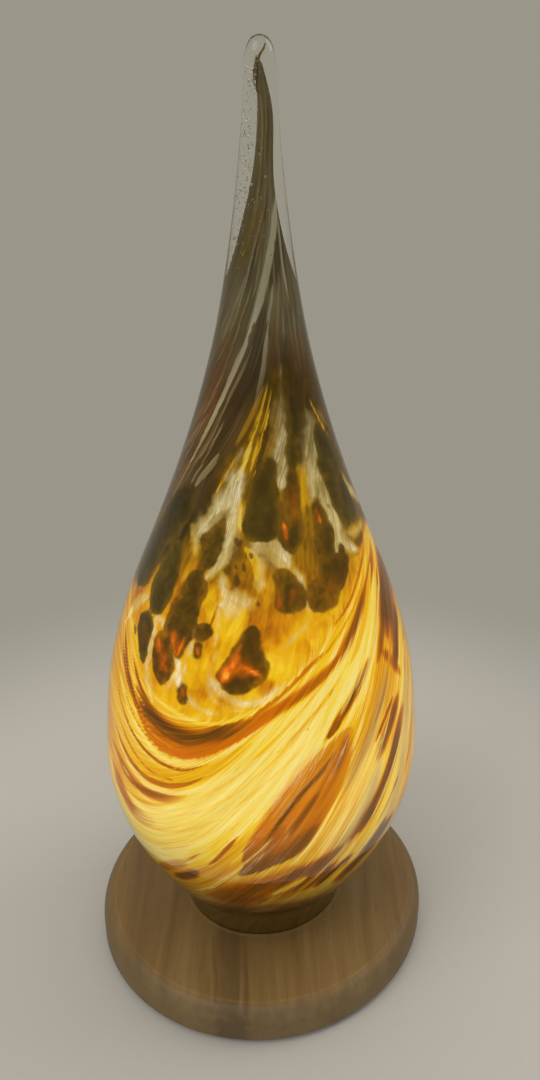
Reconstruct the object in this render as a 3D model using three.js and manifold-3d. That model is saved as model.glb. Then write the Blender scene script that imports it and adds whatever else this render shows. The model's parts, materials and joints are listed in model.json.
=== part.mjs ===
import * as THREE from 'three';
import { mergeVertices } from 'three/addons/utils/BufferGeometryUtils.js';
import Module from 'manifold-3d';

// Glass table lamp: a tall drop of cased glass that stands over a small bulb on a turned wooden disc.
// Millimetres, +Z up. The origin is the centre of the surface that the lamp stands on.

const wasm = await Module();
wasm.setup();

// Clearances between pieces and the overrun of every cut
const SEAT_GAP = 0.3;
const CUT_OVERRUN = 1;

// Facets round each kind of piece
const SHADE_FACETS = 40;
const WOOD_FACETS = 48;
const ROUND_FACETS = 24;
const SMALL_FACETS = 16;
const THREAD_FACETS = 18;
const HEX_FACETS = 6;
const ARC_STEPS = 4;

// Felt pads
const PAD_COUNT = 4;
const PAD_HEIGHT = 1.5;
const PAD_RADIUS = 8;

// Wooden disc
const WOOD_RADIUS = 80;
const WOOD_THICKNESS = 16.2;
const WOOD_LOWER_ROUND = 1.8;
const WOOD_SHOULDER_DEPTH = 5.5;
const WOOD_SHOULDER_HEIGHT = 8;
const SHADE_SEAT_DEPTH = 2;
const SHADE_SEAT_CLEARANCE = 0.9;
const POCKET_RADIUS = 33;
const POCKET_HEIGHT = 7.4;

// Bottom cover and its countersunk wood screws
const COVER_THICKNESS = 2;
const COVER_SCREW_COUNT = 3;
const COVER_SCREW_LAND = 4.6;
const COVER_EDGE = 4.4;
const COVER_SCREW_HEAD_RADIUS = 3;
const COVER_SCREW_HEAD_HEIGHT = 1.5;
const COVER_SCREW_RADIUS = 1.3;
const COVER_SCREW_LENGTH = 9;
const COVER_SCREW_POINT = 2;
const COVER_SCREW_SLOT_WIDTH = 0.8;
const COVER_SCREW_SLOT_DEPTH = 0.7;

// Cable bush in the back of the disc
const BUSH_BORE_RADIUS = 3.1;
const BUSH_WALL = 0.9;
const BUSH_FLANGE_WIDTH = 1.3;
const BUSH_FLANGE_THICKNESS = 1.7;
const BUSH_LENGTH = 14;
const BUSH_HEIGHT = 6.4;
const BUSH_INSET = 0.4;

// Threaded tube that holds the lamp holder, with its washer and nuts
const NIPPLE_RADIUS = 5;
const NIPPLE_BORE_RADIUS = 3.9;
const NIPPLE_OVERHANG = 0.6;
const WASHER_RADIUS = 9;
const WASHER_THICKNESS = 1;
const NUT_RADIUS = 8;
const NUT_HEIGHT = 2.5;

// Steel bracket under the lamp holder
const BRACKET_THICKNESS = 1.5;
const BRACKET_WIDTH = 12;
const BRACKET_HEIGHT = 8.9;
const BRACKET_FLANGE_LENGTH = 7;
const BRACKET_LEG_INSET = 0.5;
const MACHINE_SCREW_RADIUS = 1.5;
const MACHINE_SCREW_HEAD_RADIUS = 2.7;
const MACHINE_SCREW_HEAD_HEIGHT = 1.8;
const MACHINE_SCREW_LENGTH = 8.5;
const MACHINE_SCREW_SLOT_WIDTH = 0.7;
const MACHINE_SCREW_SLOT_DEPTH = 0.8;
const MACHINE_SCREW_INSET = 4;

// Porcelain body of the lamp holder
const HOLDER_RADIUS = 15;
const HOLDER_FLOOR = 7;
const HOLDER_CHAMFER = 1.2;
const HOLDER_STEP_DEPTH = 1.2;
const HOLDER_STEP_HEIGHT = 10;
const HOLDER_LEDGE_WIDTH = 1.3;
const HOLDER_LEDGE_HEIGHT = 2.7;
const HOLDER_RIM = 1;

// Screw thread shared by the holder's shell and the bulb's cap
const THREAD_RADIUS = 6.55;
const THREAD_DEPTH = 0.8;
const THREAD_PITCH = 2.822;
const THREAD_CLEARANCE = 0.6;
const THREAD_RUN_IN = 1.2;
const THREAD_ROWS_PER_TURN = 5;
const SHELL_WALL = 0.7;
const SHELL_HEIGHT = 16.5;

// Contacts and terminals
const STRIP_THICKNESS = 0.4;
const STRIP_WIDTH = 4;
const TERMINAL_WIDTH = 6;
const TERMINAL_DEPTH = 5;
const TERMINAL_HEIGHT = 4.6;
const TERMINAL_CENTRE = 9;
const TERMINAL_ROOF = 1;
const TERMINAL_SCREW_RADIUS = 1.25;
const TERMINAL_SCREW_HEAD_RADIUS = 2.2;
const TERMINAL_SCREW_LENGTH = 4;
const SIDE_CONTACT_HEIGHT = 12;
const TONGUE_REACH = 2.2;
const TONGUE_RISE = 2.7;

// Bulb
const BULB_TIP_RADIUS = 2.4;
const BULB_TIP_HEIGHT = 0.5;
const INSULATOR_TIP_RADIUS = 3.2;
const INSULATOR_CONE_HEIGHT = 1.2;
const INSULATOR_PLUG_HEIGHT = 2;
const CAP_WALL = 0.35;
const CAP_THREAD_LENGTH = 14;
const CAP_SKIRT_RADIUS = 8.2;
const CAP_SKIRT_HEIGHT = 5;
const CAP_FLARE_HEIGHT = 1.6;
const HOUSING_WALL = 1.4;
const HOUSING_HEIGHT = 14;
const HOUSING_MOUTH_RADIUS = 15.5;
const LED_BOARD_THICKNESS = 1.4;
const LED_BOARD_LEDGE = 1.4;
const DRIVER_BOARD_WIDTH = 8.4;
const DRIVER_BOARD_THICKNESS = 1.4;
const DRIVER_BOARD_HEIGHT = 14;
const GLOBE_RADIUS = 22.5;
const GLOBE_WALL = 1.3;
const GLOBE_ROWS = 9;

// Glass shade, heights from the foot of the glass
const SHADE_HEIGHT = 373.2;
const FOOT_RADIUS = 38;
const FOOT_ROUND = 1.2;
const BELLY_RADIUS = 71.8;
const BELLY_HEIGHT = 88;
const TIP_RADIUS = 5.65;
const TIP_DOME_HEIGHT = 11.5;
const TIP_DOME_POWER = 2.5;
const CASING_WALL = 2.2;
const LAYER_GAP = 0.3;
const CORE_WALL = 1.6;
const CORE_NECK_HEIGHT = 254;
const CORE_TIP_CLEARANCE = 8;
const CAVITY_DOME_START = 262;
const CAVITY_TOP = 288;
const CAVITY_DOME_POWER = 3;
const LOWER_ROWS = 8;
const UPPER_ROWS = 12;
const HIDDEN_LOWER_ROWS = 6;
const HIDDEN_UPPER_ROWS = 7;
const TIP_ROWS = 4;
const UPPER_SPREAD = 1.35;

// Foot to belly: share of the belly's height, share of the way from the foot's radius to the belly's
const lowerOutlineShares = [
  [0, 0],
  [0.065, 0.018],
  [0.133, 0.065],
  [0.225, 0.213],
  [0.339, 0.435],
  [0.475, 0.633],
  [0.635, 0.814],
  [0.818, 0.947],
  [1, 1],
];

// Belly to tip dome: share of the height between them, share of the way from the tip's radius to the belly's
const upperOutlineShares = [
  [0, 1],
  [0.117, 0.959],
  [0.182, 0.912],
  [0.255, 0.819],
  [0.336, 0.69],
  [0.423, 0.535],
  [0.515, 0.39],
  [0.606, 0.266],
  [0.697, 0.169],
  [0.789, 0.0995],
  [0.88, 0.046],
  [0.953, 0.0155],
  [1, 0],
];

// Coloured strand in the neck: share of its height, share of its radius where it leaves the casing's wall
const coreNeckShares = [
  [0, 1],
  [0.225, 0.66],
  [0.36, 0.495],
  [0.468, 0.379],
  [0.577, 0.252],
  [0.676, 0.16],
  [0.793, 0.112],
  [0.9, 0.073],
  [0.982, 0.044],
];

// Levels of the base, from the table up
const WOOD_BOTTOM = PAD_HEIGHT + SEAT_GAP;
const WOOD_TOP = WOOD_BOTTOM + WOOD_THICKNESS;
const SEAT_FLOOR = WOOD_TOP - SHADE_SEAT_DEPTH;
const COVER_TOP = WOOD_BOTTOM + COVER_THICKNESS;
const COVER_LEDGE = COVER_TOP + SEAT_GAP;
const POCKET_ROOF = COVER_LEDGE + POCKET_HEIGHT;
const BUSH_LEVEL = WOOD_BOTTOM + BUSH_HEIGHT;

// Radii that follow from the wiring pocket
const COVER_SCREW_CIRCLE = POCKET_RADIUS + COVER_SCREW_LAND;
const COVER_RADIUS = COVER_SCREW_CIRCLE + COVER_EDGE;
const PAD_CIRCLE = (COVER_RADIUS + SEAT_GAP + WOOD_RADIUS - WOOD_LOWER_ROUND) / 2;

// Levels of the lamp holder
const WASHER_TOP = POCKET_ROOF - SEAT_GAP;
const WASHER_BOTTOM = WASHER_TOP - WASHER_THICKNESS;
const LOWER_NUT_TOP = WASHER_BOTTOM - SEAT_GAP;
const LOWER_NUT_BOTTOM = LOWER_NUT_TOP - NUT_HEIGHT;
const BRACKET_BOTTOM = SEAT_FLOOR + SEAT_GAP;
const UPPER_NUT_BOTTOM = BRACKET_BOTTOM + BRACKET_THICKNESS + SEAT_GAP;
const UPPER_NUT_TOP = UPPER_NUT_BOTTOM + NUT_HEIGHT;
const BRACKET_TOP = BRACKET_BOTTOM + BRACKET_HEIGHT;
const HOLDER_BOTTOM = BRACKET_TOP + SEAT_GAP;
const CAVITY_FLOOR = HOLDER_BOTTOM + HOLDER_FLOOR;
const SHELL_LEDGE = CAVITY_FLOOR + HOLDER_LEDGE_HEIGHT;
const SHELL_BOTTOM = SHELL_LEDGE + SEAT_GAP;
const SHELL_TOP = SHELL_BOTTOM + SHELL_HEIGHT;
const HOLDER_TOP = SHELL_TOP + HOLDER_RIM;
const MACHINE_SCREW_CIRCLE = HOLDER_RADIUS - BRACKET_LEG_INSET - BRACKET_THICKNESS - MACHINE_SCREW_INSET;

// Radii of the threaded shell and its bore
const SHELL_THREAD_RADIUS = THREAD_RADIUS + THREAD_CLEARANCE;
const SHELL_OUTER_RADIUS = SHELL_THREAD_RADIUS + THREAD_DEPTH / 2 + SHELL_WALL;
const SHELL_BORE_RADIUS = SHELL_OUTER_RADIUS + SEAT_GAP;
const LOWER_BORE_RADIUS = SHELL_BORE_RADIUS - HOLDER_LEDGE_WIDTH;

// Levels of the terminals and contacts
const TERMINAL_TOP = CAVITY_FLOOR - TERMINAL_ROOF - SEAT_GAP;
const TERMINAL_BOTTOM = TERMINAL_TOP - TERMINAL_HEIGHT;
const STRIP_FOOT_LEVEL = TERMINAL_TOP + SEAT_GAP + STRIP_THICKNESS / 2;
const STRIP_FLOOR_LEVEL = CAVITY_FLOOR + SEAT_GAP + STRIP_THICKNESS / 2;
const TONGUE_LEVEL = STRIP_FLOOR_LEVEL + TONGUE_RISE;

// Levels of the bulb
const BULB_TIP_BOTTOM = TONGUE_LEVEL + STRIP_THICKNESS / 2 + SEAT_GAP;
const INSULATOR_BOTTOM = BULB_TIP_BOTTOM + BULB_TIP_HEIGHT + SEAT_GAP;
const CAP_BOTTOM = INSULATOR_BOTTOM + INSULATOR_CONE_HEIGHT;
const CAP_THREAD_TOP = CAP_BOTTOM + CAP_THREAD_LENGTH;
const CAP_SHOULDER = CAP_THREAD_TOP + CAP_FLARE_HEIGHT + CAP_WALL;
const CAP_TOP = CAP_THREAD_TOP + CAP_SKIRT_HEIGHT;
const HOUSING_BOTTOM = CAP_TOP + SEAT_GAP;
const HOUSING_TOP = HOUSING_BOTTOM + HOUSING_HEIGHT;
const LED_BOARD_BOTTOM = HOUSING_TOP - LED_BOARD_THICKNESS;
const GLOBE_BOTTOM = HOUSING_TOP + SEAT_GAP;

const materials = {
  clearGlass: { color: 0xdfe6dc, roughness: 0.04, metalness: 0 },
  colouredGlass: { color: 0xc98a1c, roughness: 0.15, metalness: 0 },
  beech: { color: 0x9b7a55, roughness: 0.55, metalness: 0 },
  felt: { color: 0x3a2f28, roughness: 0.95, metalness: 0 },
  fibreboard: { color: 0x2b2724, roughness: 0.8, metalness: 0 },
  blackPlastic: { color: 0x1b1b1c, roughness: 0.5, metalness: 0 },
  zincSteel: { color: 0xb9bbbd, roughness: 0.35, metalness: 1 },
  brass: { color: 0xc2a14d, roughness: 0.3, metalness: 1 },
  nickel: { color: 0xc9c6bf, roughness: 0.22, metalness: 1 },
  porcelain: { color: 0xefece4, roughness: 0.2, metalness: 0 },
  opal: { color: 0xfff1cf, roughness: 0.35, metalness: 0 },
  whitePlastic: { color: 0xf0eee8, roughness: 0.4, metalness: 0 },
  circuitBoard: { color: 0xe9ece6, roughness: 0.5, metalness: 0 },
  driverBoard: { color: 0x2f6b3c, roughness: 0.55, metalness: 0 },
  insulatorGlass: { color: 0x141316, roughness: 0.15, metalness: 0 },
  solder: { color: 0xa8a8a6, roughness: 0.4, metalness: 1 },
};

const lamp = new THREE.Group();

function addPiece(name, geometry, finish) {
  const mesh = new THREE.Mesh(geometry, new THREE.MeshStandardMaterial(materials[finish]));
  mesh.name = name;
  lamp.add(mesh);
  return mesh;
}

// Solids from geometries, and back again after cutting and joining

function solidFrom(geometry) {
  const bare = geometry.clone();
  bare.deleteAttribute('normal');
  bare.deleteAttribute('uv');
  const welded = mergeVertices(bare);
  const corners = welded.index.array;
  const kept = [];
  for (let i = 0; i < corners.length; i += 3) {
    const [a, b, c] = corners.slice(i, i + 3);
    if (a !== b && b !== c && c !== a) kept.push(a, b, c);
  }
  return new wasm.Manifold(new wasm.Mesh({
    numProp: 3,
    vertProperties: welded.attributes.position.array,
    triVerts: new Uint32Array(kept),
  }));
}

function geometryFrom(solid) {
  const mesh = solid.getMesh();
  const geometry = new THREE.BufferGeometry();
  geometry.setAttribute('position', new THREE.BufferAttribute(mesh.vertProperties, mesh.numProp));
  geometry.setIndex(new THREE.BufferAttribute(mesh.triVerts, 1));
  geometry.computeVertexNormals();
  return geometry;
}

function cut(geometry, ...tools) {
  const left = tools.reduce((solid, tool) => solid.subtract(solidFrom(tool)), solidFrom(geometry));
  return geometryFrom(left);
}

function join(first, ...others) {
  const whole = others.reduce((solid, other) => solid.add(solidFrom(other)), solidFrom(first));
  return geometryFrom(whole);
}

// Basic shapes, with the Z axis as the axis of every turned one

function revolve(outline, facets) {
  const points = outline.map(([radius, height]) => new THREE.Vector2(radius, height));
  return new THREE.LatheGeometry(points, facets).rotateX(Math.PI / 2);
}

function revolveRing(outline, facets) {
  return revolve([...outline, outline[0]], facets);
}

function rod(radius, bottom, top, facets) {
  const geometry = new THREE.CylinderGeometry(radius, radius, top - bottom, facets);
  return geometry.rotateX(Math.PI / 2).translate(0, 0, (bottom + top) / 2);
}

function tube(innerRadius, outerRadius, bottom, top, facets) {
  const outline = [[innerRadius, bottom], [outerRadius, bottom], [outerRadius, top], [innerRadius, top]];
  return revolveRing(outline, facets);
}

function block(low, high) {
  const size = high.map((value, axis) => value - low[axis]);
  const centre = high.map((value, axis) => (value + low[axis]) / 2);
  return new THREE.BoxGeometry(...size).translate(...centre);
}

function strip(route, thickness, width) {
  const side = (sign) => route.map((point, i) => {
    const before = route[Math.max(i - 1, 0)];
    const after = route[Math.min(i + 1, route.length - 1)];
    const along = new THREE.Vector2(after[0] - before[0], after[1] - before[1]).normalize();
    const reach = sign * thickness / 2;
    return new THREE.Vector2(point[0] - reach * along.y, point[1] + reach * along.x);
  });
  const outline = new THREE.Shape([...side(-1), ...side(1).reverse()]);
  const geometry = new THREE.ExtrudeGeometry(outline, { depth: width, bevelEnabled: false });
  // the outline's first axis becomes Y, its second Z, and the width runs along X
  return geometry.translate(0, 0, -width / 2).rotateX(Math.PI / 2).rotateZ(Math.PI / 2);
}

function placeOnCircle(geometry, radius, angle, turned = false) {
  if (turned) geometry.rotateZ(angle);
  return geometry.translate(radius * Math.cos(angle), radius * Math.sin(angle), 0);
}

function angleOf(index, count) {
  return 2 * Math.PI * (index + 1 / 2) / count;
}

// Smooth curve through [height, radius] points
function smoothRadius(points, height) {
  const last = points.length - 1;
  let i = points.findIndex((point) => point[0] >= height) - 1;
  i = i < 0 ? (height <= points[0][0] ? 0 : last - 1) : i;
  const slopeAt = (k) => {
    const low = points[Math.max(k - 1, 0)];
    const high = points[Math.min(k + 1, last)];
    return (high[1] - low[1]) / (high[0] - low[0]);
  };
  const [h0, r0] = points[i];
  const [h1, r1] = points[i + 1];
  const span = h1 - h0;
  const t = (height - h0) / span;
  const start = (1 + 2 * t) * (1 - t) ** 2 * r0 + t * (1 - t) ** 2 * span * slopeAt(i);
  const end = t ** 2 * (3 - 2 * t) * r1 + t ** 2 * (t - 1) * span * slopeAt(i + 1);
  return start + end;
}

// Felt pads

function padAngle(index) {
  return angleOf(index, PAD_COUNT);
}

for (let i = 0; i < PAD_COUNT; i += 1) {
  const pad = rod(PAD_RADIUS, 0, PAD_HEIGHT, ROUND_FACETS);
  addPiece(`felt_pad_${i + 1}`, placeOnCircle(pad, PAD_CIRCLE, padAngle(i)), 'felt');
}

// Wooden disc

function woodOutline() {
  const outline = [[0, WOOD_BOTTOM]];
  for (let i = 0; i <= ARC_STEPS; i += 1) {
    const turn = Math.PI / 2 * i / ARC_STEPS;
    const inward = WOOD_LOWER_ROUND * (1 - Math.sin(turn));
    outline.push([WOOD_RADIUS - inward, WOOD_BOTTOM + WOOD_LOWER_ROUND * (1 - Math.cos(turn))]);
  }
  for (let i = 0; i <= ARC_STEPS; i += 1) {
    const turn = Math.PI / 2 * i / ARC_STEPS;
    const inward = WOOD_SHOULDER_DEPTH * (1 - Math.cos(turn));
    const below = WOOD_SHOULDER_HEIGHT * (1 - Math.sin(turn));
    outline.push([WOOD_RADIUS - inward, WOOD_TOP - below]);
  }
  outline.push([0, WOOD_TOP]);
  return outline;
}

function coverScrewAngle(index) {
  return angleOf(index, COVER_SCREW_COUNT);
}

const BUSH_SLEEVE_RADIUS = BUSH_BORE_RADIUS + BUSH_WALL;
const BUSH_FLANGE_RADIUS = BUSH_SLEEVE_RADIUS + BUSH_FLANGE_WIDTH;
const BUSH_OUTER_FACE = WOOD_RADIUS - BUSH_INSET;
const BUSH_SHOULDER = BUSH_OUTER_FACE - BUSH_FLANGE_THICKNESS;

function alongBack(geometry) {
  return geometry.rotateX(-Math.PI / 2).translate(0, 0, BUSH_LEVEL);
}

function makeWood() {
  const channelRadius = BUSH_SLEEVE_RADIUS + SEAT_GAP;
  const counterboreRadius = BUSH_FLANGE_RADIUS + SEAT_GAP;
  const seatRadius = FOOT_RADIUS + SHADE_SEAT_CLEARANCE;
  const cuts = [
    rod(seatRadius, SEAT_FLOOR, WOOD_TOP + CUT_OVERRUN, WOOD_FACETS),
    rod(COVER_RADIUS + SEAT_GAP, WOOD_BOTTOM - CUT_OVERRUN, COVER_LEDGE, WOOD_FACETS),
    rod(POCKET_RADIUS, COVER_LEDGE - CUT_OVERRUN, POCKET_ROOF, WOOD_FACETS),
    rod(NIPPLE_RADIUS + SEAT_GAP, POCKET_ROOF - CUT_OVERRUN, SEAT_FLOOR + CUT_OVERRUN, ROUND_FACETS),
    alongBack(rod(channelRadius, POCKET_RADIUS - CUT_OVERRUN, WOOD_RADIUS + CUT_OVERRUN, ROUND_FACETS)),
    alongBack(rod(counterboreRadius, BUSH_SHOULDER - SEAT_GAP, WOOD_RADIUS + CUT_OVERRUN, ROUND_FACETS)),
  ];
  const pilotRadius = COVER_SCREW_RADIUS + SEAT_GAP;
  const pilotTop = WOOD_BOTTOM + COVER_SCREW_LENGTH + SEAT_GAP;
  for (let i = 0; i < COVER_SCREW_COUNT; i += 1) {
    const pilot = rod(pilotRadius, COVER_LEDGE - CUT_OVERRUN, pilotTop, SMALL_FACETS);
    cuts.push(placeOnCircle(pilot, COVER_SCREW_CIRCLE, coverScrewAngle(i)));
  }
  return cut(revolve(woodOutline(), WOOD_FACETS), ...cuts);
}

addPiece('wooden_base', makeWood(), 'beech');

// Bottom cover, held by countersunk wood screws

function makeCover() {
  const holes = [];
  const throat = COVER_SCREW_RADIUS + SEAT_GAP;
  const mouth = COVER_SCREW_HEAD_RADIUS + SEAT_GAP;
  const sinkTop = WOOD_BOTTOM + COVER_SCREW_HEAD_HEIGHT;
  const outline = [
    [0, WOOD_BOTTOM - CUT_OVERRUN],
    [mouth, WOOD_BOTTOM - CUT_OVERRUN],
    [mouth, WOOD_BOTTOM],
    [throat, sinkTop],
    [throat, COVER_TOP + CUT_OVERRUN],
    [0, COVER_TOP + CUT_OVERRUN],
  ];
  for (let i = 0; i < COVER_SCREW_COUNT; i += 1) {
    const hole = revolve(outline, SMALL_FACETS);
    holes.push(placeOnCircle(hole, COVER_SCREW_CIRCLE, coverScrewAngle(i)));
  }
  return cut(rod(COVER_RADIUS, WOOD_BOTTOM, COVER_TOP, WOOD_FACETS), ...holes);
}

function makeCoverScrew() {
  const tip = WOOD_BOTTOM + COVER_SCREW_LENGTH;
  const screw = revolve([
    [0, WOOD_BOTTOM],
    [COVER_SCREW_HEAD_RADIUS, WOOD_BOTTOM],
    [COVER_SCREW_RADIUS, WOOD_BOTTOM + COVER_SCREW_HEAD_HEIGHT],
    [COVER_SCREW_RADIUS, tip - COVER_SCREW_POINT],
    [0, tip],
  ], SMALL_FACETS);
  const reach = COVER_SCREW_HEAD_RADIUS + CUT_OVERRUN;
  const half = COVER_SCREW_SLOT_WIDTH / 2;
  const slotFloor = WOOD_BOTTOM + COVER_SCREW_SLOT_DEPTH;
  return cut(screw, block([-reach, -half, WOOD_BOTTOM - CUT_OVERRUN], [reach, half, slotFloor]));
}

addPiece('bottom_cover', makeCover(), 'fibreboard');
for (let i = 0; i < COVER_SCREW_COUNT; i += 1) {
  const screw = placeOnCircle(makeCoverScrew(), COVER_SCREW_CIRCLE, coverScrewAngle(i), true);
  addPiece(`cover_screw_${i + 1}`, screw, 'zincSteel');
}

// Cable bush: a sleeve with a flange let into the back of the disc

addPiece('cable_bush', alongBack(revolveRing([
  [BUSH_BORE_RADIUS, BUSH_OUTER_FACE - BUSH_LENGTH],
  [BUSH_SLEEVE_RADIUS, BUSH_OUTER_FACE - BUSH_LENGTH],
  [BUSH_SLEEVE_RADIUS, BUSH_SHOULDER],
  [BUSH_FLANGE_RADIUS, BUSH_SHOULDER],
  [BUSH_FLANGE_RADIUS, BUSH_OUTER_FACE],
  [BUSH_BORE_RADIUS, BUSH_OUTER_FACE],
], ROUND_FACETS)), 'blackPlastic');

// Threaded tube, washer and the two nuts that clamp the bracket to the wood

function makeNut(bottom) {
  const top = bottom + NUT_HEIGHT;
  const hole = rod(NIPPLE_RADIUS + SEAT_GAP, bottom - CUT_OVERRUN, top + CUT_OVERRUN, ROUND_FACETS);
  return cut(rod(NUT_RADIUS, bottom, top, HEX_FACETS), hole);
}

const nippleBottom = LOWER_NUT_BOTTOM - NIPPLE_OVERHANG;
const nippleTop = UPPER_NUT_TOP + NIPPLE_OVERHANG;
const nipple = tube(NIPPLE_BORE_RADIUS, NIPPLE_RADIUS, nippleBottom, nippleTop, ROUND_FACETS);
const washer = tube(NIPPLE_RADIUS + SEAT_GAP, WASHER_RADIUS, WASHER_BOTTOM, WASHER_TOP, ROUND_FACETS);
addPiece('threaded_tube', nipple, 'zincSteel');
addPiece('washer', washer, 'zincSteel');
addPiece('lower_nut', makeNut(LOWER_NUT_BOTTOM), 'brass');
addPiece('upper_nut', makeNut(UPPER_NUT_BOTTOM), 'brass');

// Bracket: a U of steel strip whose turned-in ends carry the porcelain body

function makeBracket() {
  const legOuter = HOLDER_RADIUS - BRACKET_LEG_INSET;
  const legInner = legOuter - BRACKET_THICKNESS;
  const half = BRACKET_WIDTH / 2;
  const floorTop = BRACKET_BOTTOM + BRACKET_THICKNESS;
  const flangeBottom = BRACKET_TOP - BRACKET_THICKNESS;
  const parts = [block([-legOuter, -half, BRACKET_BOTTOM], [legOuter, half, floorTop])];
  const holes = [
    rod(NIPPLE_RADIUS + SEAT_GAP, BRACKET_BOTTOM - CUT_OVERRUN, BRACKET_TOP, ROUND_FACETS),
  ];
  for (const side of [-1, 1]) {
    const edges = [side * legInner, side * legOuter].sort((a, b) => a - b);
    parts.push(block([edges[0], -half, BRACKET_BOTTOM], [edges[1], half, BRACKET_TOP]));
    const ends = [side * (legOuter - BRACKET_FLANGE_LENGTH), side * legOuter].sort((a, b) => a - b);
    parts.push(block([ends[0], -half, flangeBottom], [ends[1], half, BRACKET_TOP]));
    const holeBottom = flangeBottom - CUT_OVERRUN;
    const hole = rod(MACHINE_SCREW_RADIUS + SEAT_GAP, holeBottom, BRACKET_TOP + CUT_OVERRUN, SMALL_FACETS);
    holes.push(hole.translate(side * MACHINE_SCREW_CIRCLE, 0, 0));
  }
  return cut(join(...parts), ...holes);
}

// Slotted screw that points up, with its head below the given seat
function makeUpwardScrew(shankRadius, headRadius, headHeight, seat, length) {
  const headBottom = seat - headHeight;
  const screw = revolve([
    [0, headBottom],
    [headRadius, headBottom],
    [headRadius, seat],
    [shankRadius, seat],
    [shankRadius, seat + length],
    [0, seat + length],
  ], SMALL_FACETS);
  const reach = headRadius + CUT_OVERRUN;
  const half = MACHINE_SCREW_SLOT_WIDTH / 2;
  const slotFloor = headBottom + MACHINE_SCREW_SLOT_DEPTH;
  return cut(screw, block([-reach, -half, headBottom - CUT_OVERRUN], [reach, half, slotFloor]));
}

const machineScrewSeat = BRACKET_TOP - BRACKET_THICKNESS - SEAT_GAP;

function makeMachineScrew(side) {
  const screw = makeUpwardScrew(
    MACHINE_SCREW_RADIUS,
    MACHINE_SCREW_HEAD_RADIUS,
    MACHINE_SCREW_HEAD_HEIGHT,
    machineScrewSeat,
    MACHINE_SCREW_LENGTH,
  );
  return screw.translate(side * MACHINE_SCREW_CIRCLE, 0, 0);
}

addPiece('holder_bracket', makeBracket(), 'zincSteel');
addPiece('bracket_screw_left', makeMachineScrew(-1), 'zincSteel');
addPiece('bracket_screw_right', makeMachineScrew(1), 'zincSteel');

// Porcelain body, with a stepped bore for the shell and pockets below for the terminals

const STRIP_SLOT_HALF = STRIP_WIDTH / 2 + SEAT_GAP;
const SIDE_STRIP_PLACE = SHELL_BORE_RADIUS + STRIP_THICKNESS / 2 + SEAT_GAP / 2;
const SIDE_STRIP_TOP = CAVITY_FLOOR + SIDE_CONTACT_HEIGHT;

function holderOutline() {
  const stepTop = HOLDER_BOTTOM + HOLDER_STEP_HEIGHT;
  const upperRadius = HOLDER_RADIUS - HOLDER_STEP_DEPTH;
  return [
    [0, HOLDER_BOTTOM],
    [HOLDER_RADIUS - HOLDER_CHAMFER, HOLDER_BOTTOM],
    [HOLDER_RADIUS, HOLDER_BOTTOM + HOLDER_CHAMFER],
    [HOLDER_RADIUS, stepTop],
    [upperRadius, stepTop + HOLDER_STEP_DEPTH],
    [upperRadius, HOLDER_TOP - HOLDER_CHAMFER],
    [upperRadius - HOLDER_CHAMFER, HOLDER_TOP],
    [SHELL_BORE_RADIUS, HOLDER_TOP],
    [SHELL_BORE_RADIUS, SHELL_LEDGE],
    [LOWER_BORE_RADIUS, SHELL_LEDGE],
    [LOWER_BORE_RADIUS, CAVITY_FLOOR],
    [0, CAVITY_FLOOR],
  ];
}

function makeHolder() {
  const pocketHalfWidth = TERMINAL_WIDTH / 2 + SEAT_GAP;
  const pocketInner = TERMINAL_CENTRE - TERMINAL_DEPTH / 2 - SEAT_GAP;
  const pocketOuter = TERMINAL_CENTRE + TERMINAL_DEPTH / 2 + SEAT_GAP;
  const pocketTop = TERMINAL_TOP + SEAT_GAP;
  const slotTop = STRIP_FLOOR_LEVEL + STRIP_THICKNESS / 2 + SEAT_GAP;
  const grooveOuter = SIDE_STRIP_PLACE + STRIP_THICKNESS / 2 + SEAT_GAP;
  const below = HOLDER_BOTTOM - CUT_OVERRUN;
  const cuts = [
    block([-pocketHalfWidth, pocketInner, below], [pocketHalfWidth, pocketOuter, pocketTop]),
    block([-pocketHalfWidth, -pocketOuter, below], [pocketHalfWidth, -pocketInner, pocketTop]),
    block(
      [-STRIP_SLOT_HALF, -pocketOuter, pocketTop - CUT_OVERRUN],
      [STRIP_SLOT_HALF, -pocketInner + CUT_OVERRUN, slotTop],
    ),
    block(
      [-STRIP_SLOT_HALF, SHELL_BORE_RADIUS - CUT_OVERRUN, pocketTop - CUT_OVERRUN],
      [STRIP_SLOT_HALF, grooveOuter, SIDE_STRIP_TOP + SEAT_GAP],
    ),
    block(
      [-STRIP_SLOT_HALF, pocketInner, pocketTop - CUT_OVERRUN],
      [STRIP_SLOT_HALF, pocketOuter, STRIP_FOOT_LEVEL + STRIP_THICKNESS / 2 + SEAT_GAP],
    ),
  ];
  const holeTop = machineScrewSeat + MACHINE_SCREW_LENGTH + SEAT_GAP;
  for (const side of [-1, 1]) {
    const hole = rod(MACHINE_SCREW_RADIUS + SEAT_GAP, below, holeTop, SMALL_FACETS);
    cuts.push(hole.translate(side * MACHINE_SCREW_CIRCLE, 0, 0));
  }
  return cut(revolve(holderOutline(), ROUND_FACETS), ...cuts);
}

addPiece('holder_body', makeHolder(), 'porcelain');

// Rolled right-hand thread: the wall's radius swings once per pitch and follows the turn
function threadWave(height, angle) {
  return THREAD_DEPTH / 2 * Math.cos(2 * Math.PI * height / THREAD_PITCH - angle);
}

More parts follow.
